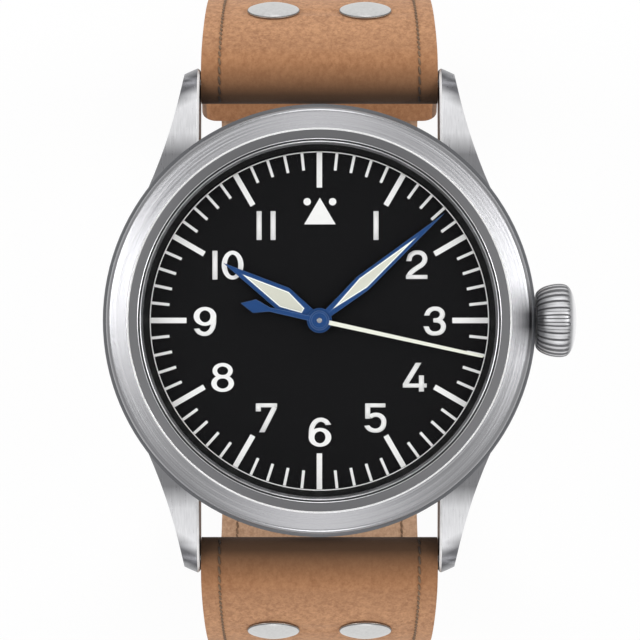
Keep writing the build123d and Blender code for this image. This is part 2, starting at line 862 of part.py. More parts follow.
def strap_12():
    outer_z = floor_12
    inner_z = floor_12 + strap_thick
    seam_z = floor_12 + upper_thick
    seam_y = pin_bar_y + strap_thick
    end = [
        ThreePointArc((pin_bar_y, outer_z), (pin_bar_y - strap_thick / 2, pin_bar_z), (pin_bar_y, inner_z)),
        Line((pin_bar_y, inner_z), (seam_y, inner_z)),
        Line((seam_y, inner_z), (seam_y, seam_z)),
        Line((seam_y, seam_z), (flat_12_y, seam_z))]
    body = leather([heel_12, flat_12], [heel_12], end)
    body -= cross_rod(bar_r + pin_bar_wall, strap_width, bar_y, bar_z)
    body -= cross_rod(pin_bar_r + pin_bar_wall, strap_width, pin_bar_y, pin_bar_z)
    slot = tongue_width + soft_gap * 2
    body -= Pos(0, pin_bar_y, pin_bar_z) * Box(slot, strap_thick * 2, strap_thick * 2)
    return (body & limit) - rivet_cutters()


def lining(runs):
    outer, outer_ends = trail(side_runs + runs, upper_thick)
    inner, inner_ends = trail(side_runs + runs, strap_thick)
    start = len(pad_runs)
    near_end = Line(inner_ends[start - 1][2], outer_ends[start - 1][2])
    far_end = Line(outer_ends[-1][2], inner_ends[-1][2])
    body = strip([near_end] + outer[start:] + [far_end] + inner[start:])
    return (body & limit) - rivet_cutters()


def strap_12_lining():
    seam_y = pin_bar_y + strap_thick
    return lining([heel_12, ("flat", flat_12_y - seam_y)])


def skin_frame(runs):
    """The plane on the outer skin at the end of the runs, with its normal pointing away from the wrist."""
    place, heading, _ = trail(runs, 0)[1][-1]
    inward = heading_vector(heading)[1]
    return Plane(origin=(0, place[0], place[1]), x_dir=(1, 0, 0), z_dir=(0, -inward[0], -inward[1]))


# Rivets, placed on the outer path a little past the shoulder
def on_rivet_frame(shape):
    frame = skin_frame([shoulder, ("arc", side_r, rivet_turn)])
    return [frame * Pos(side * rivet_spacing / 2, 0, 0) * shape for side in (-1, 1)]


def rivet_cutters():
    return on_rivet_frame(Cylinder(rivet_post_r + pin_bar_wall, (strap_thick + overrun) * 2))


def rivets():
    dome_r = (rivet_r ** 2 + rivet_dome ** 2) / (2 * rivet_dome)
    half = math.asin(rivet_r / dome_r) / 2
    top = rivet_edge + rivet_dome
    dome_mid = (dome_r * math.sin(half), top - dome_r + dome_r * math.cos(half))
    face = make_face([
        Line((0, seat_gap), (rivet_r, seat_gap)),
        Line((rivet_r, seat_gap), (rivet_r, rivet_edge)),
        ThreePointArc((rivet_r, rivet_edge), dome_mid, (0, top)),
        Line((0, top), (0, seat_gap))])
    head = revolve(Plane.XZ * face, Axis.Z)
    inside = strap_thick + seat_gap * 2
    body = head + disc(rivet_post_r, -inside - rivet_cap_thick, rivet_edge)
    body += disc(rivet_cap_r, -inside - rivet_cap_thick, -inside)
    return on_rivet_frame(body)


def strap_6():
    """Drawn like the 12 o'clock piece, with a longer run and a tail past the buckle; mirrored when saved."""
    runs = [heel_6, flat_6, tail]
    outer_end = trail(side_runs + runs, 0)[1][-1][2]
    inner_end = trail(side_runs + runs, upper_thick)[1][-1][2]
    body = leather(runs, runs, [Line(outer_end, inner_end)])
    body -= cross_rod(bar_r + pin_bar_wall, strap_width, bar_y, bar_z)
    return round_tip((body & limit) - rivet_cutters())


def strap_6_lining():
    return round_tip(lining([heel_6, flat_6, tail]))


def round_tip(body):
    """Take the two corners off the tail's tip."""
    frame = skin_frame(side_runs + [heel_6, flat_6, tail])
    width = width_at(frame.origin.Z)
    reach = tail_corner_r * 2
    room = Box(strap_width * 2, reach, strap_width)
    mask = extrude(RectangleRounded(width, reach * 2, tail_corner_r), strap_width, both=True)
    corner = Pos(0, -reach / 2, 0) * room - Pos(0, -reach, 0) * mask
    return body - frame * corner


def hole_frame(distance):
    """The plane at a distance along the flat from its heel end; past either end it follows the arcs."""
    if distance < 0:
        turn = heel_turn + math.degrees(distance / heel_6_r)
        return skin_frame(side_runs + [("arc", heel_6_r, turn)])
    if distance < flat_6[1]:
        return skin_frame(side_runs + [heel_6, ("flat", distance)])
    turn = math.degrees((distance - flat_6[1]) / tail_r)
    return skin_frame(side_runs + [heel_6, flat_6, ("arc", tail_r, turn)])


def hole_cutters():
    """A slot where the tongue passes and round holes at one pitch to both sides of it."""
    first = flat_6_y + slot_y
    slot_face = RectangleRounded(tongue_width + soft_gap * 2, slot_length, hole_r)
    slot = extrude(slot_face, strap_thick * 2, both=True)
    cutters = [hole_frame(first) * slot]
    for index in range(-holes_before, holes_after + 1):
        if index != 0:
            cutters.append(hole_frame(first + index * hole_pitch) * Cylinder(hole_r, strap_thick * 4))
    return cutters


holes = hole_cutters()
save("strap_12", strap_12())
save("strap_12_lining", strap_12_lining())
save("strap_6", mirror(strap_6() - holes, Plane.XZ))
save("strap_6_lining", mirror(strap_6_lining() - holes, Plane.XZ))
save("rivets_12", *rivets())
save("rivets_6", *[mirror(rivet, Plane.XZ) for rivet in rivets()])


# Spring bars
def spring_bar(side):
    body = cross_rod(bar_r, lug_wall_x - seat_gap, side * bar_y, bar_z)
    return body + cross_rod(bar_tip_r, lug_wall_x + bar_tip_length - seat_gap, side * bar_y, bar_z)


save("spring_bar_12", spring_bar(1))
save("spring_bar_6", spring_bar(-1))


# Buckle
rest_z = floor_6 - soft_gap - keeper_outer_thick
arm_in = width_at(pin_bar_z) / 2 + soft_gap
arm_out = arm_in + arm_wall
front_top = rest_z + front_bar_height
front_in_y = front_bar_y + front_bar_width / 2
front_out_y = front_bar_y - front_bar_width / 2
pin_eye_r = pin_bar_r + arm_wall / 2
tongue_tip = (front_out_y - tongue_overhang, rest_z + tongue_rest + tongue_thick / 2)
tongue_knee = (slot_y - tongue_knee_step, tongue_tip[1] + seat_gap)
tongue_bend = (slot_y + tongue_bend_step, floor_12 + strap_thick * tongue_bend_share)


def buckle_frame():
    """A U of two arms and a front bar, seen from below, shaped by its side view."""
    back_y = pin_bar_y + pin_eye_r
    length = back_y - front_out_y
    plan = Pos(0, (back_y + front_out_y) / 2, 0) * RectangleRounded(arm_out * 2, length, buckle_corner)
    plan -= Pos(0, (back_y + front_in_y) / 2 + overrun, 0) * Rectangle(
        arm_in * 2, back_y - front_in_y + overrun * 2)
    block = Pos(0, 0, rest_z) * extrude(plan, strap_width)
    side = make_face(Polyline(
        (pin_bar_y, pin_bar_z + pin_eye_r), (front_out_y, front_top + arm_rise), (front_out_y, rest_z),
        (front_in_y + arm_rise, rest_z), (pin_bar_y, pin_bar_z - pin_eye_r), close=True))
    side += Pos(pin_bar_y, pin_bar_z) * Circle(pin_eye_r)
    body = block & extrude(Plane.YZ * side, arm_out, both=True)
    body -= Pos(0, front_bar_y, front_top) * Box(
        arm_in * 2, front_bar_width * 2, strap_width, align=(Align.CENTER, Align.CENTER, Align.MIN))
    body -= Pos(0, front_bar_y, rest_z) * Box(
        tongue_width + tongue_notch_gap * 2, front_bar_width * 2, (tongue_rest + tongue_thick + seat_gap) * 2)
    return body - cross_rod(pin_bar_r + seat_gap / 2, arm_out + overrun, pin_bar_y, pin_bar_z)


def buckle_tongue():
    path = Polyline((pin_bar_y, pin_bar_z), tongue_bend, tongue_knee, tongue_tip)
    shank = Plane.YZ * trace(path, tongue_thick)
    body = extrude(shank, tongue_width / 2, both=True)
    body += cross_rod(tongue_eye_r, tongue_width / 2, pin_bar_y, pin_bar_z)
    return body - cross_rod(pin_bar_r + run_gap, tongue_width, pin_bar_y, pin_bar_z)


def keeper(width, outer_thick, bow=0):
    """A leather loop round both strap layers, its outer side down, with room for the strap's bow."""
    inner_low = -strap_thick - soft_gap * 2
    inner_high = strap_thick + soft_gap + bow
    low = inner_low - outer_thick
    high = inner_high + keeper_thin
    inner_x = width_at(pin_bar_z) / 2 + keeper_side_gap
    outer = Pos(0, 0, (low + high) / 2) * Box((inner_x + keeper_side_wall) * 2, width, high - low)
    outer = fillet(outer.edges().filter_by(Axis.Y), keeper_corner)
    inner = Box(inner_x * 2, width + overrun, inner_high - inner_low)
    inner = Pos(0, 0, (inner_low + inner_high) / 2) * inner
    inner = fillet(inner.edges().filter_by(Axis.Y), keeper_corner - keeper_thin)
    return outer - inner


def fixed_keeper():
    return Pos(0, fixed_keeper_y, floor_12) * keeper(keeper_width, keeper_outer_thick)


def free_keeper():
    """Sits on the heel of the loop, square to the skin there, and keeps clear of it as it slides."""
    seat = skin_frame(side_runs + [("arc", heel_r, heel_turn - free_keeper_turn)])
    half = free_keeper_width / 2 + free_keeper_slide
    bow = half ** 2 / (2 * (heel_r - strap_thick))
    return seat * Rot(180, 0, 0) * keeper(free_keeper_width, free_keeper_thick, bow)


save("buckle_bar", cross_rod(pin_bar_r, arm_out - seat_gap, pin_bar_y, pin_bar_z))
save("buckle_frame", buckle_frame())
save("buckle_tongue", buckle_tongue())
save("fixed_keeper", fixed_keeper())
save("free_keeper", free_keeper())
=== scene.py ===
import math

import bpy
from mathutils import Matrix, Vector


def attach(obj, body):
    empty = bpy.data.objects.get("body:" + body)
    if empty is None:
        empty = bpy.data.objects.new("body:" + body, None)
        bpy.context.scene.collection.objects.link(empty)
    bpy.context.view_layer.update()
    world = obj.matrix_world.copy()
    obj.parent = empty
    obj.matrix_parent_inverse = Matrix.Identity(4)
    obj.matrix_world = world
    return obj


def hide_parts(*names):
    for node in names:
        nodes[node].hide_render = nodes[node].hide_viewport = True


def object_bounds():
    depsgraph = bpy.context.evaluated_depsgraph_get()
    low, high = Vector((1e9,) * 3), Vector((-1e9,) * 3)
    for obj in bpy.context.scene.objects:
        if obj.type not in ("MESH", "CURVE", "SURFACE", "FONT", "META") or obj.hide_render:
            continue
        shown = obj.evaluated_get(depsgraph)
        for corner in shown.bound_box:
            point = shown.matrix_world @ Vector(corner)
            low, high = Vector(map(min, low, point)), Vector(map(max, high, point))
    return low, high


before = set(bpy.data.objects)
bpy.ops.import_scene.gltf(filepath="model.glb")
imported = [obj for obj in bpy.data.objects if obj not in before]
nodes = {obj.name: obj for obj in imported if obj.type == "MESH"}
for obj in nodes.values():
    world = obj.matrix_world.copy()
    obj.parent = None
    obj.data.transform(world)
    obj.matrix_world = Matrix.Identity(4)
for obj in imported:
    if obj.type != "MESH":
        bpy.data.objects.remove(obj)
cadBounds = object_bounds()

mm = 0.001
mergeWithin = 0.002 * mm  # a copy's loose triangles are joined within this
flatWithin = math.radians(0.4)  # and their flat runs made one face
doublesWithin = 0.001 * mm  # what spin and join leave double
scene = bpy.context.scene

# what the whole watch is drawn from, in millimetres, as in the frame
watch = {
    "dialTop": 7.0, "caseR": 19.8, "crestR": 17.34, "sealGapR": 16.34, "sealGapHalf": 0.085,
    "chapterLandR": 16.0, "crownZ": 4.5, "crownX": 19.95, "secondsZ": 8.0, "handThick": 0.14,
}
strap = {
    "barY": 22.05, "barZ": 2.3, "foldR": 1.9, "thick": 2.5, "width": 21.9, "endWidth": 21.2,
    "shoulder": (4.0, 55.0), "side": (40.0, 55.0), "heelR": 16.0, "heelTurn": 70.0, "padTurn": 8.6,
    "tailTurn": 56.0, "pinBarY": -3.5, "softGap": 0.3, "cutFace": 0.6,
}


# small helpers
def deselectAll():
    if bpy.context.object and bpy.context.object.mode != "OBJECT":
        bpy.ops.object.mode_set(mode="OBJECT")
    bpy.ops.object.select_all(action="DESELECT")


def pick(piece):
    deselectAll()
    piece.select_set(True)
    bpy.context.view_layer.objects.active = piece


def settle(piece):
    # the object's place goes into its mesh, as on a CAD node
    pick(piece)
    bpy.ops.object.transform_apply(location=True, rotation=True, scale=True)


def applyModifier(piece, kind, **settings):
    pick(piece)
    modifier = piece.modifiers.new(kind.title(), kind)
    for key, value in settings.items():
        setattr(modifier, key, value)
    bpy.ops.object.modifier_apply(modifier=modifier.name)


def joinAll(pieces, name):
    deselectAll()
    for piece in pieces:
        piece.select_set(True)
    bpy.context.view_layer.objects.active = pieces[0]
    bpy.ops.object.join()
    joined = bpy.context.object
    joined.name = joined.data.name = name
    settle(joined)
    return joined


def finishPiece(piece, body, material, replaced=None):
    piece.data.materials.clear()
    piece.data.materials.append(material)
    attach(piece, body)
    if replaced:
        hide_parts(replaced)


def smoothByAngle(piece, degrees):
    pick(piece)
    bpy.ops.object.shade_smooth_by_angle(angle=math.radians(degrees))


def mergedCopy(node, name):
    # a CAD node's mesh as its own object, whole and with its flat runs made single faces
    piece = bpy.data.objects.new(name, nodes[node].data.copy())
    scene.collection.objects.link(piece)
    pick(piece)
    bpy.ops.object.mode_set(mode="EDIT")
    bpy.ops.mesh.select_all(action="SELECT")
    bpy.ops.mesh.remove_doubles(threshold=mergeWithin)
    bpy.ops.mesh.dissolve_limited(angle_limit=flatWithin)
    bpy.ops.object.mode_set(mode="OBJECT")
    return piece


def turned(outline, steps, axis):
    # the outline's loop stands in a plane with the axis and is spun round it
    bpy.ops.mesh.primitive_circle_add(vertices=len(outline), radius=1.0)
    blank = bpy.context.object
    for vertex, place in zip(blank.data.vertices, outline):
        vertex.co = [length * mm for length in place]
    bpy.ops.object.mode_set(mode="EDIT")
    bpy.ops.mesh.select_all(action="SELECT")
    bpy.ops.mesh.spin(steps=steps, angle=math.radians(360), center=(0, 0, 0), axis=axis)
    bpy.ops.mesh.select_all(action="SELECT")
    bpy.ops.mesh.remove_doubles(threshold=doublesWithin)
    bpy.ops.mesh.delete_loose(use_verts=True, use_edges=True, use_faces=False)
    bpy.ops.mesh.select_all(action="SELECT")
    bpy.ops.mesh.normals_make_consistent(inside=False)
    bpy.ops.object.mode_set(mode="OBJECT")
    return blank


def paintWhere(piece, material, chosen):
    piece.data.materials.append(material)
    for polygon in piece.data.polygons:
        if chosen(polygon):
            polygon.material_index = len(piece.data.materials) - 1


# materials
class Finish:
    def __init__(self, name):
        self.material = bpy.data.materials.new(name)
        self.material.use_nodes = True
        self.tree = self.material.node_tree
        self.shader = self.tree.nodes["Principled BSDF"]

    def add(self, kind, inputs=None, **settings):
        node = self.tree.nodes.new(kind)
        for key, value in settings.items():
            setattr(node, key, value)
        for key, value in (inputs or {}).items():
            if isinstance(value, bpy.types.NodeSocket):
                self.tree.links.new(value, node.inputs[key])
            else:
                node.inputs[key].default_value = value
        return node

    def link(self, source, name):
        # a value worked out by nodes goes into one of the shader's sockets
        self.tree.links.new(source, self.shader.inputs[name])

    def linked(self, name):
        return self.shader.inputs[name].links[0].from_socket

    def set(self, **values):
        for key, value in values.items():
            self.shader.inputs[key.replace("_", " ")].default_value = value

    def place(self):
        return self.add("ShaderNodeTexCoord").outputs["Object"]

    def math(self, operation, first, second=0.0):
        return self.add("ShaderNodeMath", {0: first, 1: second}, operation=operation).outputs[0]

    def split(self, vector):
        return self.add("ShaderNodeSeparateXYZ", {0: vector}).outputs

    def radius(self, x, y):
        return self.math("SQRT", self.math("ADD", self.math("MULTIPLY", x, x), self.math("MULTIPLY", y, y)))

    def distance(self, value, middle):
        return self.math("ABSOLUTE", self.math("SUBTRACT", value, middle))

    def scaled(self, vector, scale):
        return self.add("ShaderNodeMapping", {"Vector": vector, "Scale": scale}).outputs[0]

    def noise(self, vector, scale, detail=4.0, roughness=0.55):
        return self.add("ShaderNodeTexNoise", {
            "Vector": vector, "Scale": scale, "Detail": detail, "Roughness": roughness}).outputs["Fac"]

    def ramp(self, value, low, high, toLow=0.0, toHigh=1.0):
        return self.add("ShaderNodeMapRange", {
            "Value": value, "From Min": low, "From Max": high, "To Min": toLow, "To Max": toHigh}).outputs[0]

    def mix(self, factor, first, second):
        # 0, 6 and 7 are the Mix node's sockets for factor and colours, and 2 is its colour
        return self.add("ShaderNodeMix", {0: factor, 6: first, 7: second}, data_type="RGBA").outputs[2]

    def grain(self, noise, low, high):
        # noise gathers round its middle, so its middle part is spread over the whole range
        return self.ramp(noise, 0.3, 0.7, low, high)

    def grainTint(self, noise, first, second):
        return self.mix(self.grain(noise, 0.0, 1.0), first, second)

    def bump(self, height, strength, distance):
        node = self.add("ShaderNodeBump", {"Height": height, "Strength": strength, "Distance": distance})
        self.link(node.outputs[0], "Normal")


def srgb(red, green, blue):
    def straight(value):
        value /= 255
        return value / 12.92 if value <= 0.04045 else ((value + 0.055) / 1.055) ** 2.4
    return (straight(red), straight(green), straight(blue), 1.0)


def polarStreaks(finish, fineness, along):
    # brushing round the Z axis: quick changes with the radius, slow ones round the turn
    x, y = finish.split(finish.place())[:2]
    radius = finish.radius(x, y)
    safe = finish.math("MAXIMUM", radius, 0.01 * mm)
    across = finish.math("MULTIPLY", radius, fineness)
    turnX = finish.math("MULTIPLY", finish.math("DIVIDE", x, safe), along)
    turnY = finish.math("MULTIPLY", finish.math("DIVIDE", y, safe), along)
    vector = finish.add("ShaderNodeCombineXYZ", {0: across, 1: turnX, 2: turnY}).outputs[0]
    return finish.noise(vector, 1.0, 5.0, 0.6), radius


def brushedRing(name, tint, darker, roughness):
    finish = Finish(name)
    streak, radius = polarStreaks(finish, 9000.0, 0.8)
    finish.link(finish.grainTint(streak, darker, tint), "Base Color")
    finish.link(finish.grain(streak, roughness - 0.06, roughness + 0.06), "Roughness")
    finish.set(Metallic=1.0, Anisotropic=0.88)
    tangent = finish.add("ShaderNodeTangent", direction_type="RADIAL", axis="Z")
    finish.link(tangent.outputs[0], "Tangent")
    finish.bump(streak, 0.25, 0.02 * mm)
    return finish, radius


# painted light on the bezel: the crest's highlight, the inner slope's shade and the crown's reflection beside
# it
bezelShade = {
    "crestHalf": 0.07, "besideHigh": (0.6, 3.6), "besideFrom": (16.2, 19.0),
    "top": srgb(168, 168, 170), "topDark": srgb(142, 142, 145), "crownReflection": srgb(34, 34, 36),
    "slope": srgb(103, 103, 105), "crest": srgb(250, 250, 250),
}


def bezelSteel():
    # a brushed top, a bright crest painted as a highlight line, and an even grey slope inside it painted
    # darker as shade
    finish, radius = brushedRing("bezelSteel", bezelShade["top"], bezelShade["topDark"], 0.23)
    crestHalf = bezelShade["crestHalf"] * mm
    inner = finish.math("LESS_THAN", radius, watch["crestR"] * mm - crestHalf)
    crest = finish.math("LESS_THAN", finish.distance(radius, watch["crestR"] * mm), crestHalf)
    # painted reflection: the bezel is painted darker beside the crown, as the crown's dark reflection in it
    x, y = finish.split(finish.place())[:2]
    full, none = bezelShade["besideHigh"]
    faint, deep = bezelShade["besideFrom"]
    beside = finish.math("MULTIPLY", finish.ramp(finish.math("ABSOLUTE", y), full * mm, none * mm, 1.0, 0.0),
                         finish.ramp(x, faint * mm, deep * mm, 0.1, 1.0))
    crownSide = finish.math("MULTIPLY", beside, finish.math("GREATER_THAN", x, 0.0))
    base = finish.mix(crownSide, finish.linked("Base Color"), bezelShade["crownReflection"])
    # the inner slope's painted shade and the crest's painted highlight
    tint = finish.mix(inner, base, bezelShade["slope"])
    finish.link(finish.mix(crest, tint, bezelShade["crest"]), "Base Color")
    rough = finish.linked("Roughness")
    finish.link(finish.math("ADD", rough, finish.ramp(inner, 0.0, 1.0, 0.0, 0.3)), "Roughness")
    finish.link(finish.ramp(inner, 0.0, 1.0, 1.0, 0.35), "Metallic")
    return finish.material


# the lugs' painted shade at roots and knees, and the painted shade of the ring under the bezel
lugShade = {
    "root": (15.2, 17.2), "kneeAt": 28.4, "kneeSlant": 0.55, "kneeHalf": (0.45, 1.9), "above": 2.6,
    "ringAbove": 6.69, "dark": srgb(98, 98, 101), "ring": srgb(108, 109, 112),
}


def lugSteel():
    # the case: lengthwise brushing on the lugs and tops, and a ring under the bezel painted dark grey as
    # shade
    finish = Finish("caseSteel")
    place = finish.place()
    streak = finish.noise(finish.scaled(place, (9000.0, 160.0, 5200.0)), 1.0, 3.0, 0.5)
    slow = finish.noise(finish.scaled(place, (420.0, 90.0, 300.0)), 1.0, 2.0)
    x, y, z = finish.split(place)
    radius = finish.radius(x, y)
    tint = finish.grainTint(streak, srgb(214, 214, 216), srgb(230, 230, 232))
    tint = finish.mix(finish.ramp(slow, 0.35, 0.65, 0.0, 0.25), tint, srgb(206, 206, 210))
    # painted shade: the brushing fades to a darker grey at the lugs' roots and at their knees, where the tops
    # turn down
    away = finish.math("ABSOLUTE", y)
    dark, clear = lugShade["root"]
    root = finish.ramp(away, dark * mm, clear * mm, 0.8, 0.0)
    aside = finish.math("MULTIPLY", finish.math("ABSOLUTE", x), lugShade["kneeSlant"])
    slant = finish.math("ADD", away, aside)
    dark, clear = lugShade["kneeHalf"]
    knee = finish.ramp(finish.distance(slant, lugShade["kneeAt"] * mm), dark * mm, clear * mm, 1.0, 0.0)
    top = finish.math("GREATER_THAN", z, lugShade["above"] * mm)
    paintedShade = finish.math("MULTIPLY", finish.math("MAXIMUM", root, knee), top)
    tint = finish.mix(paintedShade, tint, lugShade["dark"])
    # painted shade: the steep ring under the bezel is painted dark grey
    ring = finish.math("MULTIPLY", finish.math("LESS_THAN", radius, (watch["caseR"] + 0.01) * mm),
                       finish.math("GREATER_THAN", z, lugShade["ringAbove"] * mm))
    finish.link(finish.mix(ring, tint, lugShade["ring"]), "Base Color")
    finish.link(finish.grain(streak, 0.27, 0.35), "Roughness")
    finish.set(Metallic=1.0)
    finish.bump(streak, 0.08, 0.01 * mm)
    return finish.material


def metalFinish(name, tint, roughness, metallic=1.0, grain=2500.0, depth=0.05):
    finish = Finish(name)
    grainNoise = finish.noise(finish.place(), grain, 4.0)
    darker = tuple(channel * 0.86 for channel in tint[:3]) + (1.0,)
    finish.link(finish.grainTint(grainNoise, darker, tint), "Base Color")
    finish.link(finish.grain(grainNoise, roughness - 0.04, roughness + 0.05), "Roughness")
    finish.set(Metallic=metallic)
    finish.bump(grainNoise, depth, 0.02 * mm)
    return finish


def plainMetal(*values, **more):
    return metalFinish(*values, **more).material


# painted shade where the flutes run out, and a painted highlight on the domed end
crownShade = {
    "greyFrom": (2.6, 2.8), "greyTo": (2.98, 3.22), "brightFrom": (3.12, 3.42),
    "land": srgb(216, 216, 218), "grey": srgb(108, 108, 110), "bright": srgb(244, 244, 245),
}


def crownSteel():
    # satin, greyer where the flutes run out as painted shade, and brighter on the domed end as a painted
    # highlight
    finish = metalFinish("crownSteel", crownShade["land"], 0.48, grain=1200.0, depth=0.01)
    along = finish.math("SUBTRACT", finish.split(finish.place())[0], watch["crownX"] * mm)
    greyFrom, greyTo, brightFrom = ([place * mm for place in crownShade[key]] for key in
                                    ("greyFrom", "greyTo", "brightFrom"))
    grey = finish.math("MULTIPLY", finish.ramp(along, *greyFrom, 0.0, 0.6),
                       finish.ramp(along, *greyTo, 1.0, 0.0))
    base = finish.mix(grey, finish.linked("Base Color"), crownShade["grey"])
    finish.link(finish.mix(finish.ramp(along, *brightFrom), base, crownShade["bright"]), "Base Color")
    return finish.material


# where the leather is painted darker as shade, as millimetres away from the middle and heights
foldShade = {
    "middleY": 0.22, "foldAway": (21.0, 24.6), "foldHigh": (-6.0, -1.0), "sideAway": (23.2, 27.8),
    "sideHigh": (-16.0, -6.0), "lowHigh": (-24.0, -12.0), "threadAway": (21.0, 24.4),
}


def leatherFinish(name, light, middle, dark, foldShadeTint):
    finish = Finish(name)
    place = finish.place()
    fine = finish.noise(place, 4200.0, 3.0, 0.7)
    nap = finish.noise(finish.scaled(place, (1.0, 0.62, 0.62)), 2100.0, 4.0, 0.7)
    cloud = finish.noise(place, 170.0, 3.0, 0.5)
    tint = finish.mix(finish.ramp(nap, 0.36, 0.64), dark, light)
    tint = finish.mix(0.3, tint, middle)
    tint = finish.mix(finish.grain(cloud, 0.05, 0.3), tint, light)
    tint = finish.mix(finish.ramp(fine, 0.52, 0.72, 0.0, 0.5), tint, light)
    tint = finish.mix(finish.ramp(fine, 0.48, 0.28, 0.0, 0.5), tint, dark)
    if foldShadeTint:
        # painted shade: dark where the leather turns round its bar beside the case, darker along the sides
        # near the case, and towards the bottom of the loop
        y, z = finish.split(place)[1:]
        away = finish.math("ABSOLUTE", finish.math("ADD", y, foldShade["middleY"] * mm))
        foldAway, foldHigh, sideAway, sideHigh, lowHigh = (
            [place * mm for place in foldShade[key]]
            for key in ("foldAway", "foldHigh", "sideAway", "sideHigh", "lowHigh"))
        near = finish.math("MULTIPLY", finish.math("POWER", finish.ramp(away, *foldAway, 1.0, 0.0), 1.5),
                           finish.ramp(z, *foldHigh))
        shade = finish.math("MULTIPLY", finish.ramp(away, *sideAway, 0.65, 0.0), finish.ramp(z, *sideHigh))
        tint = finish.mix(shade, tint, dark)
        tint = finish.mix(near, tint, foldShadeTint)
        tint = finish.mix(finish.ramp(z, *lowHigh, 0.5, 0.0), tint, dark)
    finish.link(tint, "Base Color")
    finish.set(Roughness=0.88, Sheen_Weight=0.08, Sheen_Roughness=0.5, Specular_IOR_Level=0.15)
    finish.bump(finish.math("ADD", fine, finish.math("MULTIPLY", nap, 1.6)), 0.55, 0.06 * mm)
    return finish.material


def edgeFinish():
    finish = Finish("leatherEdge")
    grain = finish.noise(finish.place(), 2600.0, 4.0, 0.6)
    finish.link(finish.grainTint(grain, srgb(96, 66, 44), srgb(132, 94, 64)), "Base Color")
    finish.set(Roughness=0.62)
    finish.bump(grain, 0.3, 0.04 * mm)
    return finish.material


def threadFinish():
    finish = Finish("stitchThread")
    y, z = finish.split(finish.place())[1:]
    twist = finish.noise(finish.scaled(finish.place(), (9000.0, 3500.0, 3500.0)), 1.0, 2.0)
    tint = finish.mix(finish.ramp(twist, 0.35, 0.65), srgb(98, 75, 54), srgb(130, 102, 76))
    # painted shade: darker near the fold, like the leather's painted shade there
    threadAway, foldHigh = ([place * mm for place in foldShade[key]] for key in ("threadAway", "foldHigh"))
    near = finish.math("MULTIPLY", finish.ramp(finish.math("ABSOLUTE", y), *threadAway, 1.0, 0.0),
                       finish.ramp(z, *foldHigh))
    finish.link(finish.mix(near, tint, srgb(44, 32, 24)), "Base Color")
    finish.set(Roughness=0.75)
    finish.bump(twist, 0.3, 0.03 * mm)
    return finish.material


def paint(name, tint, roughness, grain=3000.0, spread=0.06, shine=0.5):
    finish = Finish(name)
    speck = finish.noise(finish.place(), grain, 3.0)
    low = tuple(max(channel * (1 - spread), 0.0) for channel in tint[:3]) + (1.0,)
    high = tuple(min(channel * (1 + spread), 1.0) for channel in tint[:3]) + (1.0,)
    finish.link(finish.grainTint(speck, low, high), "Base Color")
    finish.set(Roughness=roughness, Specular_IOR_Level=shine)
    finish.bump(speck, 0.05, 0.01 * mm)
    return finish.material


def sealFinish():
    # two bright lips with a dark gap between them; the gap is the gasket's own dark and painted shade in its
    # groove
    finish = Finish("sealMetal")
    radius = finish.radius(*finish.split(finish.place())[:2])
    gap = finish.math("LESS_THAN", finish.distance(radius, watch["sealGapR"] * mm),
                      watch["sealGapHalf"] * mm)
    grain = finish.noise(finish.place(), 2500.0, 3.0)
    bright = finish.grainTint(grain, srgb(206, 206, 208), srgb(222, 222, 224))
    finish.link(finish.mix(gap, bright, srgb(44, 44, 46)), "Base Color")
    finish.link(finish.ramp(gap, 0.0, 1.0, 1.0, 0.0), "Metallic")
    finish.set(Roughness=0.3)
    return finish.material


def chapterFinish():
    # black wall, and a grey land under the crystal's edge, painted as the grey reflection of the crystal's
    # bevel
    finish = Finish("chapterBlack")
    radius = finish.radius(*finish.split(finish.place())[:2])
    land = finish.math("GREATER_THAN", radius, watch["chapterLandR"] * mm)
    grain = finish.noise(finish.place(), 2500.0, 3.0)
    dark = finish.grainTint(grain, srgb(18, 18, 19), srgb(23, 23, 24))
    finish.link(finish.mix(land, dark, srgb(112, 112, 114)), "Base Color")
    finish.set(Roughness=0.6, Specular_IOR_Level=0.1)
    return finish.material


def crystalFinish():
    finish = Finish("coatedCrystal")
    smear = finish.noise(finish.place(), 120.0, 2.0)
    finish.link(finish.grain(smear, 0.02, 0.05), "Roughness")
    finish.set(Alpha=0.02, Metallic=0.0, Base_Color=(0.0, 0.0, 0.0, 1.0))
    return finish.material


def stripedBrass():
    finish = Finish("stripedPlate")
    x, y = finish.split(finish.place())[:2]
    stripeWide = 0.9 * mm
    wave = finish.math("PINGPONG", finish.math("ADD", x, finish.math("MULTIPLY", y, 0.3)), stripeWide)
    stripe = finish.ramp(wave, 0.0, stripeWide)
    grain = finish.noise(finish.scaled(finish.place(), (900.0, 6000.0, 900.0)), 1.0, 3.0)
    tint = finish.mix(stripe, srgb(176, 172, 164), srgb(222, 219, 212))
    finish.link(finish.mix(finish.grain(grain, 0.0, 0.3), tint, srgb(160, 156, 150)), "Base Color")
    finish.link(finish.ramp(stripe, 0.0, 1.0, 0.22, 0.38), "Roughness")
    finish.set(Metallic=1.0)
    finish.bump(stripe, 0.15, 0.02 * mm)
    return finish.material


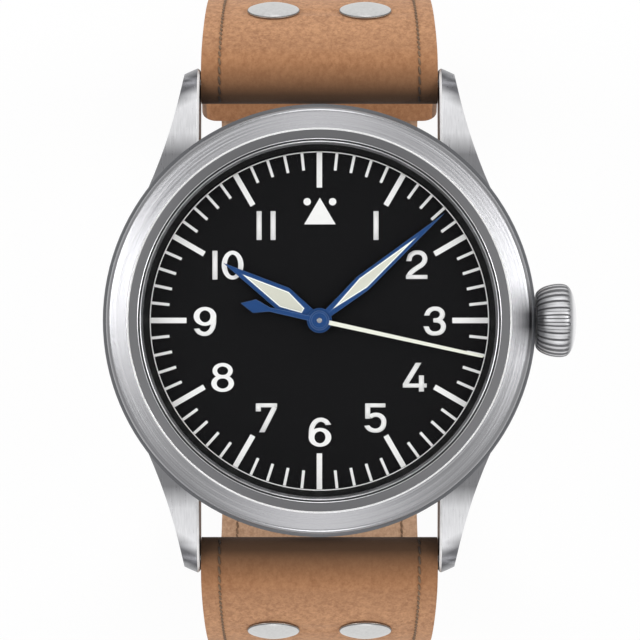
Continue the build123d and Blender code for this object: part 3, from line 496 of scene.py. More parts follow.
finishes = {
    "bezel": bezelSteel(),
    "case": lugSteel(),
    "back": brushedRing("backSteel", srgb(226, 226, 228), srgb(196, 196, 199), 0.34)[0].material,
    "polished": plainMetal("polishedSteel", srgb(228, 228, 231), 0.2, grain=900.0, depth=0.02),
    "crown": crownSteel(),
    # painted shade on the walls of the crown's flutes
    "flute": plainMetal("fluteSteel", srgb(130, 130, 132), 0.5, grain=1200.0, depth=0.01),
    # the crown tube is painted dark as the shade in the gap between crown and case
    "groove": plainMetal("grooveSteel", srgb(112, 112, 114), 0.45, grain=1200.0, depth=0.01),
    # painted shade on the lugs' inner walls
    "lugInside": plainMetal("lugInside", srgb(84, 84, 88), 0.4, grain=1200.0, depth=0.01),
    # painted highlight on the lugs' inner rims
    "lugRim": plainMetal("lugRim", srgb(250, 250, 250), 0.4, metallic=0.3, grain=1200.0, depth=0.01),
    "sealMetal": sealFinish(),
    "rivet": plainMetal("rivetSteel", srgb(214, 214, 213), 0.36, grain=3200.0, depth=0.03),
    # painted shade on the rivets' rims
    "rivetRim": plainMetal("rivetRim", srgb(122, 122, 122), 0.4, grain=3200.0, depth=0.01),
    "buckle": plainMetal("buckleSteel", srgb(204, 204, 207), 0.27, grain=2600.0),
    # the last tint is the painted shade at the fold
    "leather": leatherFinish("tanNubuck", srgb(201, 151, 110), srgb(181, 130, 92), srgb(136, 92, 61),
                             srgb(80, 58, 42)),
    "lining": leatherFinish("liningLeather", srgb(196, 162, 134), srgb(176, 142, 115), srgb(148, 114, 88),
                            None),
    "edge": edgeFinish(),
    "thread": threadFinish(),
    "dial": paint("dialBlack", srgb(24, 24, 25), 0.9, grain=9000.0, spread=0.12, shine=0.0),
    "chapter": chapterFinish(),
    "print": paint("dialPrint", srgb(237, 237, 236), 0.65, spread=0.02),
    "lume": paint("lumeCream", srgb(208, 209, 195), 0.7, spread=0.02),
    "lumeEdge": paint("lumeEdge", srgb(244, 249, 244), 0.6, spread=0.02),
    "secondsCream": paint("secondsCream", srgb(231, 233, 220), 0.6, spread=0.02),
    "blue": plainMetal("bluedSteel", srgb(30, 74, 133), 0.42, metallic=0.6, grain=1500.0, depth=0.01),
    # painted highlight on the hands' rims and the hub's rings
    "blueRim": plainMetal("blueRim", srgb(74, 106, 156), 0.4, metallic=0.5, grain=1500.0, depth=0.01),
    "pin": plainMetal("pinSteel", srgb(150, 152, 154), 0.35, grain=1500.0, depth=0.01),
    "seal": paint("sealRubber", srgb(34, 34, 36), 0.7),
    "crystal": crystalFinish(),
    "plate": stripedBrass(),
    "brass": plainMetal("wheelBrass", srgb(214, 178, 108), 0.28),
    "pinion": plainMetal("pinionSteel", srgb(196, 198, 202), 0.22),
    "ring": paint("movementRing", srgb(120, 122, 126), 0.5),
}
print("finishes ready:", len(finishes))

# every CAD piece is dressed, also the ones that finer copies replace further down
cadFinishes = {
    # the crown tube takes the dark groove steel, painted shade in the gap beside the crown
    "bezel": "bezel", "mid_case": "case", "case_back": "back", "crown": "crown", "crown_tube": "groove",
    "winding_stem": "polished", "spring_bar_12": "polished", "spring_bar_6": "polished", "rivets_12": "rivet",
    "rivets_6": "rivet", "buckle_frame": "buckle", "buckle_bar": "buckle", "buckle_tongue": "buckle",
    "crystal": "crystal", "crystal_gasket": "seal", "case_back_gasket": "seal", "crown_gasket": "seal",
    "chapter_ring": "chapter", "dial": "dial", "hour_hand": "blue", "minute_hand": "blue",
    "seconds_hand": "blue", "hour_hand_lume": "lume", "minute_hand_lume": "lume",
    "seconds_hand_lume": "lume", "cannon_pinion": "blue", "minute_wheel": "brass",
    "hour_wheel": "blue", "seconds_arbor": "pinion", "winding_pinion": "pinion",
    "movement_ring": "ring", "mainplate": "plate", "train_bridge": "plate", "balance_cock": "plate",
    "balance_wheel": "brass", "movement_screws": "pinion", "rotor": "plate", "rotor_bearing": "pinion",
    "bearing_screw": "pinion", "strap_12": "leather", "strap_6": "leather", "strap_12_lining": "lining",
    "strap_6_lining": "lining", "fixed_keeper": "leather", "free_keeper": "leather",
}
for name, finishName in cadFinishes.items():
    mesh = nodes[name].data
    mesh.materials.clear()
    mesh.materials.append(finishes[finishName])
print("CAD pieces dressed:", len(cadFinishes))


# leather: a merged copy of the solid, with its rims rounded
def dressCopy(node, name, rim, segments=3, angle=40):
    piece = mergedCopy(node, name)
    applyModifier(piece, "BEVEL", width=rim * mm, segments=segments, limit_method="ANGLE",
                  angle_limit=math.radians(angle))
    smoothByAngle(piece, 35)
    return piece


# node, bevel, finish, slot, body
leatherPieces = {
    "strapLeather12": ("strap_12", 0.32, "leather", "strap_leather", "watch"),
    "strapLeather6": ("strap_6", 0.32, "leather", "strap_leather", "watch"),
    "strapLining12": ("strap_12_lining", 0.12, "lining", "lining_leather", "watch"),
    "strapLining6": ("strap_6_lining", 0.12, "lining", "lining_leather", "watch"),
    "keeperFixed": ("fixed_keeper", 0.28, "leather", "strap_leather", "watch"),
    "keeperFree": ("free_keeper", 0.25, "leather", "strap_leather", "keeper_slider"),
}
for name, (node, rim, finishName, slotName, body) in leatherPieces.items():
    piece = dressCopy(node, name, rim)
    finishPiece(piece, body, finishes[finishName], node)
    # the cut sides of the leather get the edge paint
    paintWhere(piece, finishes["edge"], lambda polygon: abs(polygon.normal.x) > strap["cutFace"])
print("leather made")


# the strap's path, for the stitching
def runLength(run):
    kind, size, turn = run
    return size if kind == "flat" else math.radians(turn) * size


def waysAt(heading):
    # the way along and the way out at a heading, in the plane of Y and Z
    angle = math.radians(heading)
    return Vector((math.cos(angle), -math.sin(angle))), Vector((math.sin(angle), math.cos(angle)))


def pathStations(runs, inset, start, finish, pitch):
    # walks the outer skin's arcs and flats and gives a place, the way along and the way out at each pitch
    here = Vector((strap["barY"] - strap["foldR"], strap["barZ"]))
    heading = -90.0
    stations = []
    walked = 0.0
    wanted = start
    for run in runs:
        kind, size, turn = run
        travel, out = waysAt(heading)
        centre = here - out * size

        def placeAt(along):
            if kind == "flat":
                return here + travel * along, heading
            now = heading + math.degrees(along / size)
            return centre + waysAt(now)[1] * size, now

        while wanted <= walked + runLength(run) and wanted <= finish:
            place, now = placeAt(wanted - walked)
            along, out = waysAt(now)
            stations.append((place - out * inset, along, out))
            wanted += pitch
        here, heading = placeAt(runLength(run))
        walked += runLength(run)
    return stations


def sideEnd():
    shoulderR, shoulderTurn = strap["shoulder"]
    sideR, sideTurn = strap["side"]
    y = strap["barY"] + shoulderR * math.sin(math.radians(shoulderTurn))
    z = strap["barZ"] + strap["foldR"] - shoulderR * (1 - math.cos(math.radians(shoulderTurn)))
    first, last = math.radians(shoulderTurn), math.radians(shoulderTurn + sideTurn)
    return (y + sideR * (math.sin(last) - math.sin(first)), z - sideR * (math.cos(first) - math.cos(last)))


sideEndY, sideEndZ = sideEnd()
openTurn = math.radians(strap["shoulder"][1] + strap["side"][1] - 90)
riseShare = 1 - math.sin(openTurn)
floor12 = sideEndZ - strap["heelR"] * riseShare
flat12Y = sideEndY - strap["heelR"] * math.cos(openTurn)
floor6 = floor12 - strap["thick"] - strap["softGap"]
heel6R = (sideEndZ - floor6) / riseShare
flat6Y = sideEndY - heel6R * math.cos(openTurn)
tailR = strap["heelR"] + strap["thick"] + strap["softGap"]

nearRuns = [("arc", strap["foldR"], 90.0), ("arc", *strap["shoulder"]), ("arc", *strap["side"])]
runs12 = nearRuns + [("arc", strap["heelR"], strap["heelTurn"]), ("flat", flat12Y - strap["pinBarY"], 0.0)]
runs6 = nearRuns + [("arc", heel6R, strap["heelTurn"]), ("flat", flat6Y + flat12Y, 0.0),
                    ("arc", tailR, strap["tailTurn"])]

stitching = {
    "fromEdge": 1.7, "pitch": 0.94, "length": 0.96, "radius": 0.13, "flatness": 0.8, "proud": 0.03,
    "slant": 9.0, "start": 1.2, "pastPad": 1.0, "endGap12": 3.4, "endGap6": 8.5,
}


def widthAt(height):
    top = strap["barZ"] - strap["foldR"]
    share = (top - height) / (top - floor6)
    return strap["width"] - (strap["width"] - strap["endWidth"]) * max(share, 0.0)


def oneStitch():
    bpy.ops.mesh.primitive_uv_sphere_add(segments=6, ring_count=5, radius=1.0)
    stitch = bpy.context.object
    radius = stitching["radius"] * mm
    stitch.scale = (radius, stitching["length"] / 2 * mm, radius * stitching["flatness"])
    settle(stitch)
    return stitch


def stitchRow(stations, mirrored, inside, name):
    deselectAll()
    master = oneStitch()
    copies = []
    flip = -1 if mirrored else 1
    for place, travel, out in stations:
        half = widthAt(place[1]) / 2 - stitching["fromEdge"]
        normal = Vector((0, out[0] * flip, out[1])) * (-1 if inside else 1)
        forward = Vector((0, travel[0] * flip, travel[1]))
        across = forward.cross(normal)
        turn = Matrix((across, forward, normal)).transposed().to_4x4()
        slant = Matrix.Rotation(math.radians(stitching["slant"]), 4, "Z")
        for side in (-1, 1):
            spot = Vector((side * half, place[0] * flip, place[1])) + normal * stitching["proud"]
            copy = master.copy()
            copy.data = master.data.copy()
            copy.matrix_world = Matrix.Translation(spot * mm) @ turn @ slant
            scene.collection.objects.link(copy)
            copies.append(copy)
    bpy.data.objects.remove(master)
    row = joinAll(copies, name)
    smoothByAngle(row, 60)
    finishPiece(row, "watch", finishes["thread"])


# inside, the stitches start past the folded leather
foldedLength = sum(runLength(run) for run in nearRuns[:2]) + math.radians(strap["padTurn"]) * strap["side"][0]
for name, runs, mirrored in (("12", runs12, False), ("6", runs6, True)):
    last = sum(runLength(run) for run in runs) - stitching["endGap" + name]
    outside = pathStations(runs, 0.0, stitching["start"], last, stitching["pitch"])
    inside = pathStations(runs, strap["thick"], foldedLength + stitching["pastPad"], last, stitching["pitch"])
    stitchRow(outside, mirrored, False, "stitchesOutside" + name)
    stitchRow(inside, mirrored, True, "stitchesInside" + name)
print("stitching done")

# dial print: the marks are written as large as they look in the photograph, so the print is scaled by
# what the near camera adds
printing = {
    "scale": 0.988, "thick": 0.03, "trackR": 15.63, "trackWide": 0.09, "trackMiddle": (0.0, -0.05),
    "minuteFrom": 13.93, "minuteWide": 0.26, "hourFrom": 12.28, "hourWide": 0.5, "outer": 15.6,
    "middle": 0.045, "triangle": (11.34, 8.88, 1.45), "dots": (1.175, 10.97, 0.34),
    "upright": 0.465, "flat": 0.37, "layer": 0.004,
}
printTop = watch["dialTop"] + printing["thick"]


def flatBar(width, low, high, angle):
    # an upright bar, then turned clockwise by the clock's angle
    bpy.ops.mesh.primitive_plane_add(size=1.0)
    bar = bpy.context.object
    bar.scale = (width * mm, (high - low) * mm, 1.0)
    bar.location = (0, (low + high) / 2 * mm, 0)
    settle(bar)
    bar.rotation_euler = (0, 0, -math.radians(angle))
    bar.location = (0, 0, printTop * mm)
    settle(bar)
    return bar


def flatRing(outer, inner, centre, steps, height):
    # an oval ring: the outer oval is extruded inwards to the inner one
    bpy.ops.mesh.primitive_circle_add(vertices=steps, radius=1.0)
    ring = bpy.context.object
    bpy.ops.object.mode_set(mode="EDIT")
    bpy.ops.mesh.select_all(action="SELECT")
    bpy.ops.transform.resize(value=(outer[0] * mm, outer[1] * mm, 1.0))
    bpy.ops.mesh.extrude_edges_move()
    bpy.ops.transform.resize(value=(inner[0] / outer[0], inner[1] / outer[1], 1.0))
    bpy.ops.mesh.select_all(action="SELECT")
    bpy.ops.mesh.normals_make_consistent(inside=False)
    bpy.ops.object.mode_set(mode="OBJECT")
    ring.location = (centre[0] * mm, centre[1] * mm, height * mm)
    settle(ring)
    return ring


def cutLevel(piece, first, second, height):
    # the ribbon's end is drawn out along its run to a level cut
    run = Vector(first) - Vector(second)
    near = sorted(piece.data.vertices, key=lambda vertex: (vertex.co.xy - Vector(first) * mm).length)[:2]
    for vertex in near:
        vertex.co.x += run.x / run.y * (height * mm - vertex.co.y)
        vertex.co.y = height * mm


def stroke(smooth, points, startCut=None, endCut=None):
    # a flat ribbon along a line of places, wide where it runs upright and thin where it runs level
    curve = bpy.data.curves.new("stroke", "CURVE")
    curve.dimensions = "3D"
    curve.twist_mode = "Z_UP"
    curve.resolution_u = 10
    curve.extrude = printing["upright"] / 2 * mm
    spline = curve.splines.new("BEZIER")
    spline.bezier_points.add(len(points) - 1)
    for index, (point, (x, y)) in enumerate(zip(spline.bezier_points, points)):
        run = Vector(points[min(index + 1, len(points) - 1)]) - Vector(points[max(index - 1, 0)])
        upright = abs(run.y) / run.length
        point.co = (x * mm, y * mm, 0)
        point.handle_left_type = point.handle_right_type = "AUTO" if smooth else "VECTOR"
        point.tilt = math.radians(90)
        point.radius = upright + (1 - upright) * printing["flat"] / printing["upright"]
    piece = bpy.data.objects.new("stroke", curve)
    scene.collection.objects.link(piece)
    pick(piece)
    bpy.ops.object.convert(target="MESH")
    piece = bpy.context.object
    if startCut is not None:
        cutLevel(piece, points[0], points[1], startCut)
    if endCut is not None:
        cutLevel(piece, points[-1], points[-2], endCut)
    return piece


# each numeral as strokes about its own middle: smooth or straight, places, and the heights of level cuts at
# its start and at its end
numerals = {
    "1": [(False, [(0, -1.33), (0, 1.33)])],
    "2": [(True, [(-0.73, 0.45), (-0.62, 0.82), (-0.32, 1.09), (0.02, 1.165), (0.45, 1.07), (0.7, 0.76),
                  (0.7, 0.4), (0.5, 0.08), (0.1, -0.2), (-0.35, -0.52), (-0.65, -0.82),
                  (-0.78, -1.14)], 0.365),
          (False, [(-1.01, -1.1), (0.97, -1.1)])],
    "3": [(True, [(-0.72, 0.6), (-0.6, 0.87), (-0.3, 1.1), (0.03, 1.165), (0.45, 1.05), (0.68, 0.72),
                  (0.6, 0.36), (0.3, 0.12), (-0.05, 0.08)], 0.525),
          (True, [(0.0, 0.08), (0.4, 0.02), (0.7, -0.2), (0.78, -0.55), (0.6, -0.93), (0.3, -1.09),
                  (0.0, -1.13), (-0.35, -1.08), (-0.65, -0.85), (-0.77, -0.57)], None, -0.475),
          (False, [(-0.15, 0.08), (0.1, 0.08)])],
    "4": [(False, [(0.25, 1.2), (-0.93, -0.73)], 1.345),
          (False, [(-1.11, -0.75), (1.09, -0.75)]),
          (False, [(0.605, -1.305), (0.605, 0.185)])],
    "5": [(False, [(-0.96, 1.175), (0.9, 1.175)]),
          (False, [(-0.74, 1.3), (-0.74, -0.055)]),
          (True, [(-0.52, 0.12), (-0.3, 0.25), (0.05, 0.31), (0.45, 0.19), (0.7, -0.1), (0.74, -0.5),
                  (0.58, -0.9), (0.3, -1.1), (0.0, -1.155), (-0.35, -1.1), (-0.63, -0.95),
                  (-0.75, -0.79)], None, -0.725)],
    "6": [(True, [(-0.79, -0.4), (-0.79, 0.15), (-0.65, 0.68), (-0.33, 1.06), (0.06, 1.19), (0.42, 1.1),
                  (0.62, 0.96), (0.71, 0.82)], None, 0.735)],
    "7": [(False, [(-0.99, 1.18), (0.96, 1.18)]),
          (False, [(-0.775, 1.3), (-0.775, 0.62)]),
          (False, [(0.745, 1.03), (-0.379, -1.185)], None, -1.305)],
    "9": [(True, [(0.79, 0.4), (0.79, -0.15), (0.65, -0.68), (0.33, -1.06), (-0.06, -1.175), (-0.42, -1.08),
                  (-0.62, -0.93), (-0.71, -0.79)], None, -0.7)],
}
# the round parts: size of the outer oval, of the inner one, and their middle
ovals = {
    "0": [((1.005, 1.33), (0.525, 0.985), (0, 0))],
    "6": [((1.045, 0.87), (0.51, 0.555), (0, -0.435))],
    "8": [((0.93, 0.72), (0.505, 0.4), (-0.01, 0.635)), ((1.045, 0.785), (0.555, 0.478), (-0.01, -0.535))],
    "9": [((1.045, 0.87), (0.51, 0.555), (0, 0.45))],
}
# mark, then the X and Y of its middle
numeralPlaces = (
    ("1", 5.23, 8.77), ("2", 9.01, 5.12), ("3", 10.67, -0.07), ("4", 8.82, -5.26), ("5", 5.2, -9.02),
    ("6", 0.05, -10.36), ("7", -4.87, -9.02), ("8", -8.93, -5.28), ("9", -10.57, -0.07), ("1", -9.65, 5.11),
    ("0", -8.02, 5.11), ("1", -5.57, 8.77), ("1", -4.28, 8.77),
)


def numeral(mark, x, y):
    strokes = [stroke(*line) for line in numerals.get(mark, [])]
    strokes += [flatRing(outer, inner, centre, 48, 0.0) for outer, inner, centre in ovals.get(mark, [])]
    for layer, piece in enumerate(strokes):
        # strokes that cross lie a hair above each other
        piece.location = (x * mm, y * mm, (printTop + layer * printing["layer"]) * mm)
    return strokes


deselectAll()
marks = []
for minute in range(60):
    kind = "minute" if minute % 5 else "hour"
    marks.append(flatBar(printing[kind + "Wide"], printing[kind + "From"], printing["outer"], minute * 6))
outer = printing["trackR"] + printing["trackWide"] / 2
inner = printing["trackR"] - printing["trackWide"] / 2
marks.append(flatRing((outer, outer), (inner, inner), printing["trackMiddle"], 180, printTop))
apex, base, halfBase = printing["triangle"]
bpy.ops.mesh.primitive_circle_add(vertices=3, radius=1.0, fill_type="NGON")
triangle = bpy.context.object
for vertex, (x, y) in zip(triangle.data.vertices, ((0, apex), (-halfBase, base), (halfBase, base))):
    vertex.co = ((x + printing["middle"]) * mm, y * mm, printTop * mm)
marks.append(triangle)
dotX, dotY, dotR = printing["dots"]
for side in (-1, 1):
    place = ((side * dotX + printing["middle"]) * mm, dotY * mm, printTop * mm)
    bpy.ops.mesh.primitive_circle_add(vertices=32, radius=dotR * mm, fill_type="NGON", location=place)
    marks.append(bpy.context.object)
for mark, x, y in numeralPlaces:
    marks.extend(numeral(mark, x, y))
dialPrint = joinAll(marks, "dialPrint")
dialPrint.scale = (printing["scale"], printing["scale"], 1.0)
settle(dialPrint)
bpy.ops.object.mode_set(mode="EDIT")
bpy.ops.mesh.select_all(action="SELECT")
bpy.ops.mesh.remove_doubles(threshold=doublesWithin)
bpy.ops.object.mode_set(mode="OBJECT")
for polygon in dialPrint.data.polygons:
    if polygon.normal.z < 0:
        polygon.flip()
# the flat print gets its thickness, down onto the dial
applyModifier(dialPrint, "SOLIDIFY", thickness=printing["thick"] * mm, offset=-1.0)
finishPiece(dialPrint, "watch", finishes["print"])
print("dial printed")

# the rings round the crystal
# outlines as (radius, height)
crystalSeal = [(16.15, 9.3), (16.17, 9.39), (16.22, 9.42), (16.27, 9.38), (16.29, 9.2), (16.35, 9.18),
               (16.37, 9.34), (16.43, 9.36), (16.49, 9.33), (16.45, 8.6), (16.15, 8.6)]
bezelTurning = [(16.45, 6.3), (17.25, 6.3), (17.25, 7.0), (19.33, 7.0), (19.33, 8.72), (19.325, 8.86),
                (19.3, 8.96), (19.25, 9.05), (19.17, 9.13), (19.07, 9.2), (18.96, 9.26), (18.84, 9.3),
                (17.46, 9.578), (17.4, 9.598), (17.34, 9.606), (17.29, 9.6), (17.24, 9.575), (16.56, 9.33),
                (16.5, 9.3), (16.45, 9.28)]


def turnedRing(name, outline, steps):
    ring = turned([(radius, 0.0, height) for radius, height in outline], steps, (0, 0, 1))
    ring.name = ring.data.name = name
    smoothByAngle(ring, 40)
    return ring


deselectAll()
seal = turnedRing("crystalSeal", crystalSeal, 160)
finishPiece(seal, "watch", finishes["sealMetal"], "crystal_gasket")
bezelRing = turnedRing("bezelRing", bezelTurning, 256)
finishPiece(bezelRing, "watch", finishes["bezel"], "bezel")
print("rings made")

# the crown: a turned blank with its flutes pressed in
# depth is in millimetres, and land, floor and wall are shares of one flute's turn, counted from a groove's
# middle; the outline is (along, radius) from the case outwards
crownShape = {
    "flutes": 30, "steps": 12, "depth": 0.19, "land": 0.34, "floor": 0.17, "wall": (0.15, 0.3),
    "end": 3.0, "endRound": 0.5, "endFade": 0.12, "boreR": 1.9, "wallFrom": 0.02, "wallR": 2.1,
    "outline": [(1.9, 0.0), (1.9, 1.8), (0.03, 1.8), (0.0, 1.86), (0.0, 2.45), (0.04, 2.56), (0.16, 2.72),
                (0.34, 2.88), (0.53, 3.0), (0.72, 3.1), (0.92, 3.18), (1.2, 3.27), (1.45, 3.33), (1.7, 3.37),
                (1.95, 3.39), (2.2, 3.395), (2.42, 3.38), (2.6, 3.34), (2.7, 3.31), (2.8, 3.26), (2.88, 3.21),
                (2.95, 3.15), (3.02, 3.08), (3.1, 2.98), (3.2, 2.82), (3.3, 2.62), (3.4, 2.36), (3.5, 2.0),
                (3.58, 1.6), (3.64, 1.12), (3.68, 0.6), (3.7, 0.0)],
}


def fromGroove(across, up):
    # how far a place round the crown is from the nearest groove's middle, as a share of one flute's turn
    turn = math.degrees(math.atan2(up, across)) / 360 * crownShape["flutes"]
    return abs(turn - round(turn))


def fluteDepth(along, reach):
    # how deep the groove is at a place along the crown and at a reach from its middle
    side = min(max((crownShape["land"] - reach) / (crownShape["land"] - crownShape["floor"]), 0.0), 1.0)
    stop = crownShape["end"] - crownShape["endRound"] * (reach / crownShape["land"]) ** 2
    tail = min(max((stop - along) / crownShape["endFade"], 0.0), 1.0)
    return crownShape["depth"] * side * side * (3 - 2 * side) * tail


def onGrooveWall(polygon):
    # painted shade: the grooves' steep walls are painted darker than the lands
    across, up = polygon.center.y, polygon.center.z - watch["crownZ"] * mm
    along = polygon.center.x / mm - watch["crownX"]
    low, high = crownShape["wall"]
    return (low < fromGroove(across, up) < high and math.hypot(up, across) > crownShape["wallR"] * mm
            and crownShape["wallFrom"] < along < crownShape["end"] - crownShape["endFade"])


deselectAll()
crown = turned([(along, radius, 0.0) for along, radius in crownShape["outline"]],
               crownShape["flutes"] * crownShape["steps"], (1, 0, 0))
for vertex in crown.data.vertices:
    radius = math.hypot(vertex.co.y, vertex.co.z)
    if radius > crownShape["boreR"] * mm:
        reach = fromGroove(vertex.co.y, vertex.co.z)
        sunk = radius - fluteDepth(vertex.co.x / mm, reach) * mm
        vertex.co.y *= sunk / radius
        vertex.co.z *= sunk / radius
crown.name = crown.data.name = "flutedCrown"
crown.location = (watch["crownX"] * mm, 0, watch["crownZ"] * mm)
settle(crown)
smoothByAngle(crown, 34)
finishPiece(crown, "crown_set", finishes["crown"], "crown")
# the flutes' walls get the darker steel as painted shade
paintWhere(crown, finishes["flute"], onGrooveWall)
print("crown made")

# steel and hand copies with their edges rounded
hub = {
    "seenR": 1.14, "upTo": 1.5, "rings": (0.87, 0.7), "ringWide": 0.075, "ringHigh": 0.04, "sunk": 0.02,
    "ringTop": 0.6, "pinR": 0.23, "pinHigh": 0.09, "pinDome": ((0.0, 1.0), (0.6, 0.9), (1.0, 0.4)),
}


def trimHub(piece):
    # the discs under the hands' middle are drawn in to the radius seen in the photograph
    for vertex in piece.data.vertices:
        radius = math.hypot(vertex.co.x, vertex.co.y)
        if hub["seenR"] * mm < radius < hub["upTo"] * mm:
            vertex.co.x *= hub["seenR"] * mm / radius
            vertex.co.y *= hub["seenR"] * mm / radius


# places in millimetres, and how far a face is turned, where 1 faces the way that is named
lugs = {"from": 15.5, "innerX": 11.2, "wall": 0.95, "rim": (0.15, 0.95), "rimUp": 0.2}
rivets = {"faceAway": 0.93, "faceUp": 0.37, "rim": (0.1, 0.9)}
handRim = (0.15, 0.95)


def inwards(polygon):
    # how far a face beyond the case's round turns to the middle plane
    if abs(polygon.center.y) < lugs["from"] * mm:
        return 0.0
    return -polygon.normal.x if polygon.center.x > 0 else polygon.normal.x


# the lugs' inner walls, painted dark as the shade between lug and strap
def onLugWall(polygon):
    return inwards(polygon) > lugs["wall"]


def onLugRim(polygon):
    # the narrow edge above those walls, painted near white as a highlight
    low, high = lugs["rim"]
    return (low < inwards(polygon) < high and polygon.normal.z > lugs["rimUp"]
            and abs(polygon.center.x) < lugs["innerX"] * mm)


def onRivetRim(polygon):
    # the edge round each dome, by how far it turns from the way the rivets face, painted darker as shade
    low, high = rivets["rim"]
    away = polygon.normal.y if polygon.center.y > 0 else -polygon.normal.y
    return low < away * rivets["faceAway"] + polygon.normal.z * rivets["faceUp"] < high


# the hands' sloping rims, painted a lighter blue as a highlight
def onHandRim(polygon):
    return handRim[0] < polygon.normal.z < handRim[1]


# what is painted differently on a piece, by its finish: painted highlights on the hands' and lugs' rims,
# painted shade on the rivets' rims and the lugs' inner walls
rims = {
    "blue": [("blueRim", onHandRim)],
    "rivet": [("rivetRim", onRivetRim)],
    "case": [("lugInside", onLugWall), ("lugRim", onLugRim)],
}
# node, bevel and its segments, finish, slot, body
roundedPieces = {
    "buckleFrame": ("buckle_frame", 0.3, 3, "buckle", "buckle_steel", "watch"),
    "buckleTongue": ("buckle_tongue", 0.16, 2, "buckle", "buckle_steel", "tongue_set"),
    "rivets12": ("rivets_12", 0.07, 2, "rivet", "rivet_steel", "watch"),
    "rivets6": ("rivets_6", 0.07, 2, "rivet", "rivet_steel", "watch"),
    "hourHand": ("hour_hand", 0.045, 1, "blue", "blued_steel", "hour_set"),
    "minuteHand": ("minute_hand", 0.045, 1, "blue", "blued_steel", "minute_set"),
    "secondsHand": ("seconds_hand", 0.045, 1, "blue", "blued_steel", "seconds_set"),
    "caseBack": ("case_back", 0.08, 2, "back", "case_steel", "watch"),
    "midCase": ("mid_case", 0.07, 2, "case", "case_steel", "watch"),
}
for name, (node, rim, segments, finishName, slotName, body) in roundedPieces.items():
    piece = dressCopy(node, name, rim, segments, 30)
    if finishName == "blue":
        trimHub(piece)
    # the wide faces stay flat beside their rounded edges
    applyModifier(piece, "WEIGHTED_NORMAL", keep_sharp=True)
    finishPiece(piece, body, finishes[finishName], node)
    for rimFinish, chosen in rims.get(finishName, []):
        paintWhere(piece, finishes[rimFinish], chosen)
print("edges rounded:", len(roundedPieces))

lumeBorder = 0.1 * mm


def borderLume(piece):
    # an even border round the top face, in a lighter paint
    pick(piece)
    bpy.ops.object.mode_set(mode="EDIT")
    bpy.ops.mesh.select_all(action="DESELECT")
    bpy.ops.object.mode_set(mode="OBJECT")
    for polygon in piece.data.polygons:
        polygon.select = polygon.normal.z > 0.9
    bpy.ops.object.mode_set(mode="EDIT")
    bpy.ops.mesh.inset(thickness=lumeBorder)
    bpy.ops.object.mode_set(mode="OBJECT")
    paintWhere(piece, finishes["lumeEdge"], lambda polygon: not polygon.select)


# node, finish, body
lumePieces = {
    "hourLume": ("hour_hand_lume", "lume", "hour_set"),
    "minuteLume": ("minute_hand_lume", "lume", "minute_set"),
    "secondsLume": ("seconds_hand_lume", "secondsCream", "seconds_set"),
}
for name, (node, finishName, body) in lumePieces.items():
    piece = mergedCopy(node, name)
    finishPiece(piece, body, finishes[finishName], node)
    if finishName == "lume":
        borderLume(piece)
print("lume bordered")

# hub of the hands
deselectAll()
handTop = watch["secondsZ"] + watch["handThick"]
foot = handTop - hub["sunk"]
crest = handTop + hub["ringHigh"]
half = hub["ringWide"] / 2
top = half * hub["ringTop"]
for number, radius in enumerate(hub["rings"], 1):
    outline = [(radius - half, foot), (radius - top, crest), (radius + top, crest), (radius + half, foot)]
    ring = turnedRing(f"hubRing{number}", outline, 64)
    # the rings take the lighter blue of the hands' rims, a painted highlight
    finishPiece(ring, "seconds_set", finishes["blueRim"])
# the pin's dome is in shares of its radius and its height
outline = [(hub["pinR"] * across, handTop + hub["pinHigh"] * up) for across, up in hub["pinDome"]]
pin = turnedRing("hubPin", [(0.0, foot)] + outline + [(hub["pinR"], foot)], 32)
finishPiece(pin, "seconds_set", finishes["pin"])
print("hub ready")

# floor, light and camera
floorLook = {"size": 6.0, "grey": 0.86, "white": 0.92}
bpy.ops.mesh.primitive_plane_add(size=floorLook["size"], location=(0, 0, cadBounds[0][2]))
floor = bpy.context.object
floor.name = "floor"
floorFinish = Finish("paleFloor")
floorFinish.set(Roughness=0.9, Base_Color=(floorLook["grey"],) * 3 + (1.0,))
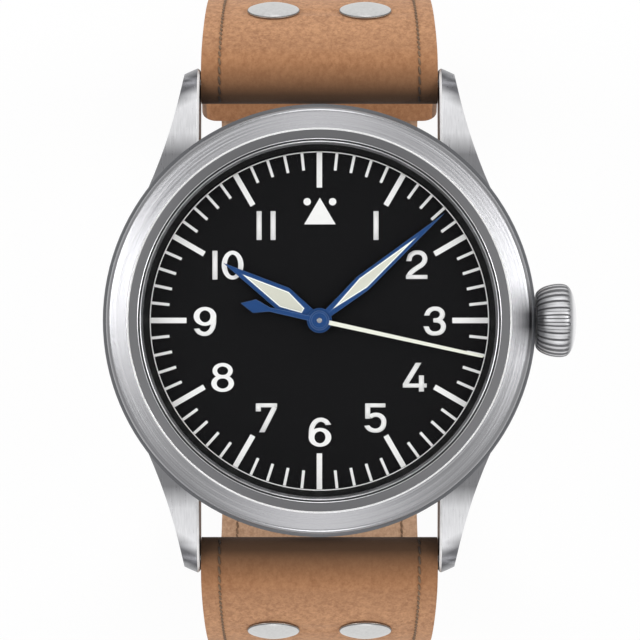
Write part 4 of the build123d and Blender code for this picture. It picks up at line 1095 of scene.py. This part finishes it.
# the floor shows mostly as its own white, and keeps some of the shadow
glow = floorFinish.add("ShaderNodeEmission", {"Strength": 1.0})
rays = floorFinish.add("ShaderNodeLightPath").outputs
seen = floorFinish.math("MAXIMUM", rays["Is Glossy Ray"], rays["Is Transmission Ray"])
seen = floorFinish.math("MAXIMUM", rays["Is Camera Ray"], seen)
blend = floorFinish.add("ShaderNodeMixShader", {
    0: floorFinish.math("MULTIPLY", seen, floorLook["white"]), 1: floorFinish.shader.outputs[0],
    2: glow.outputs[0]})
floorFinish.tree.links.new(blend.outputs[0], floorFinish.tree.nodes["Material Output"].inputs["Surface"])
floor.data.materials.append(floorFinish.material)

world = bpy.data.worlds.new("studio")
scene.world = world
world.use_nodes = True
background = world.node_tree.nodes["Background"].inputs
background["Color"].default_value = (1.0, 1.0, 1.0, 1.0)
background["Strength"].default_value = 0.7

lamps = {
    "leftBox": {"at": (-0.8, 0.18, 0.8), "size": (0.35, 0.5), "power": 3.4},
    "rightBox": {"at": (0.8, 0.18, 0.8), "size": (0.35, 0.5), "power": 3.4},
    "farBox": {"at": (0.0, 0.75, 1.0), "size": (0.4, 0.4), "power": 0.7},
    "nearBox": {"at": (0.0, -0.75, 1.0), "size": (0.4, 0.4), "power": 0.8},
    "farLow": {"at": (0.0, 1.0, 0.4), "size": (0.35, 0.25), "power": 1.3},
    "nearLow": {"at": (0.0, -1.0, 0.4), "size": (0.35, 0.25), "power": 1.3},
}
for name, lamp in lamps.items():
    light = bpy.data.lights.new(name, "AREA")
    light.shape = "RECTANGLE"
    light.size, light.size_y = lamp["size"]
    light.energy = lamp["power"]
    holder = bpy.data.objects.new(name, light)
    holder.location = lamp["at"]
    holder.rotation_euler = Vector(lamp["at"]).to_track_quat("Z", "Y").to_euler()
    scene.collection.objects.link(holder)

camera = {"at": (0.054, 0.042, 254.0), "lens": 152.2, "sensor": 36.0}
eye = bpy.data.cameras.new("camera")
eye.lens = camera["lens"]
eye.sensor_width = camera["sensor"]
eye.clip_start = 0.01
eye.clip_end = 20.0
viewer = bpy.data.objects.new("camera", eye)
viewer.location = Vector(camera["at"]) * mm
scene.collection.objects.link(viewer)
scene.camera = viewer
scene.view_settings.view_transform = "Standard"
print("stage set")
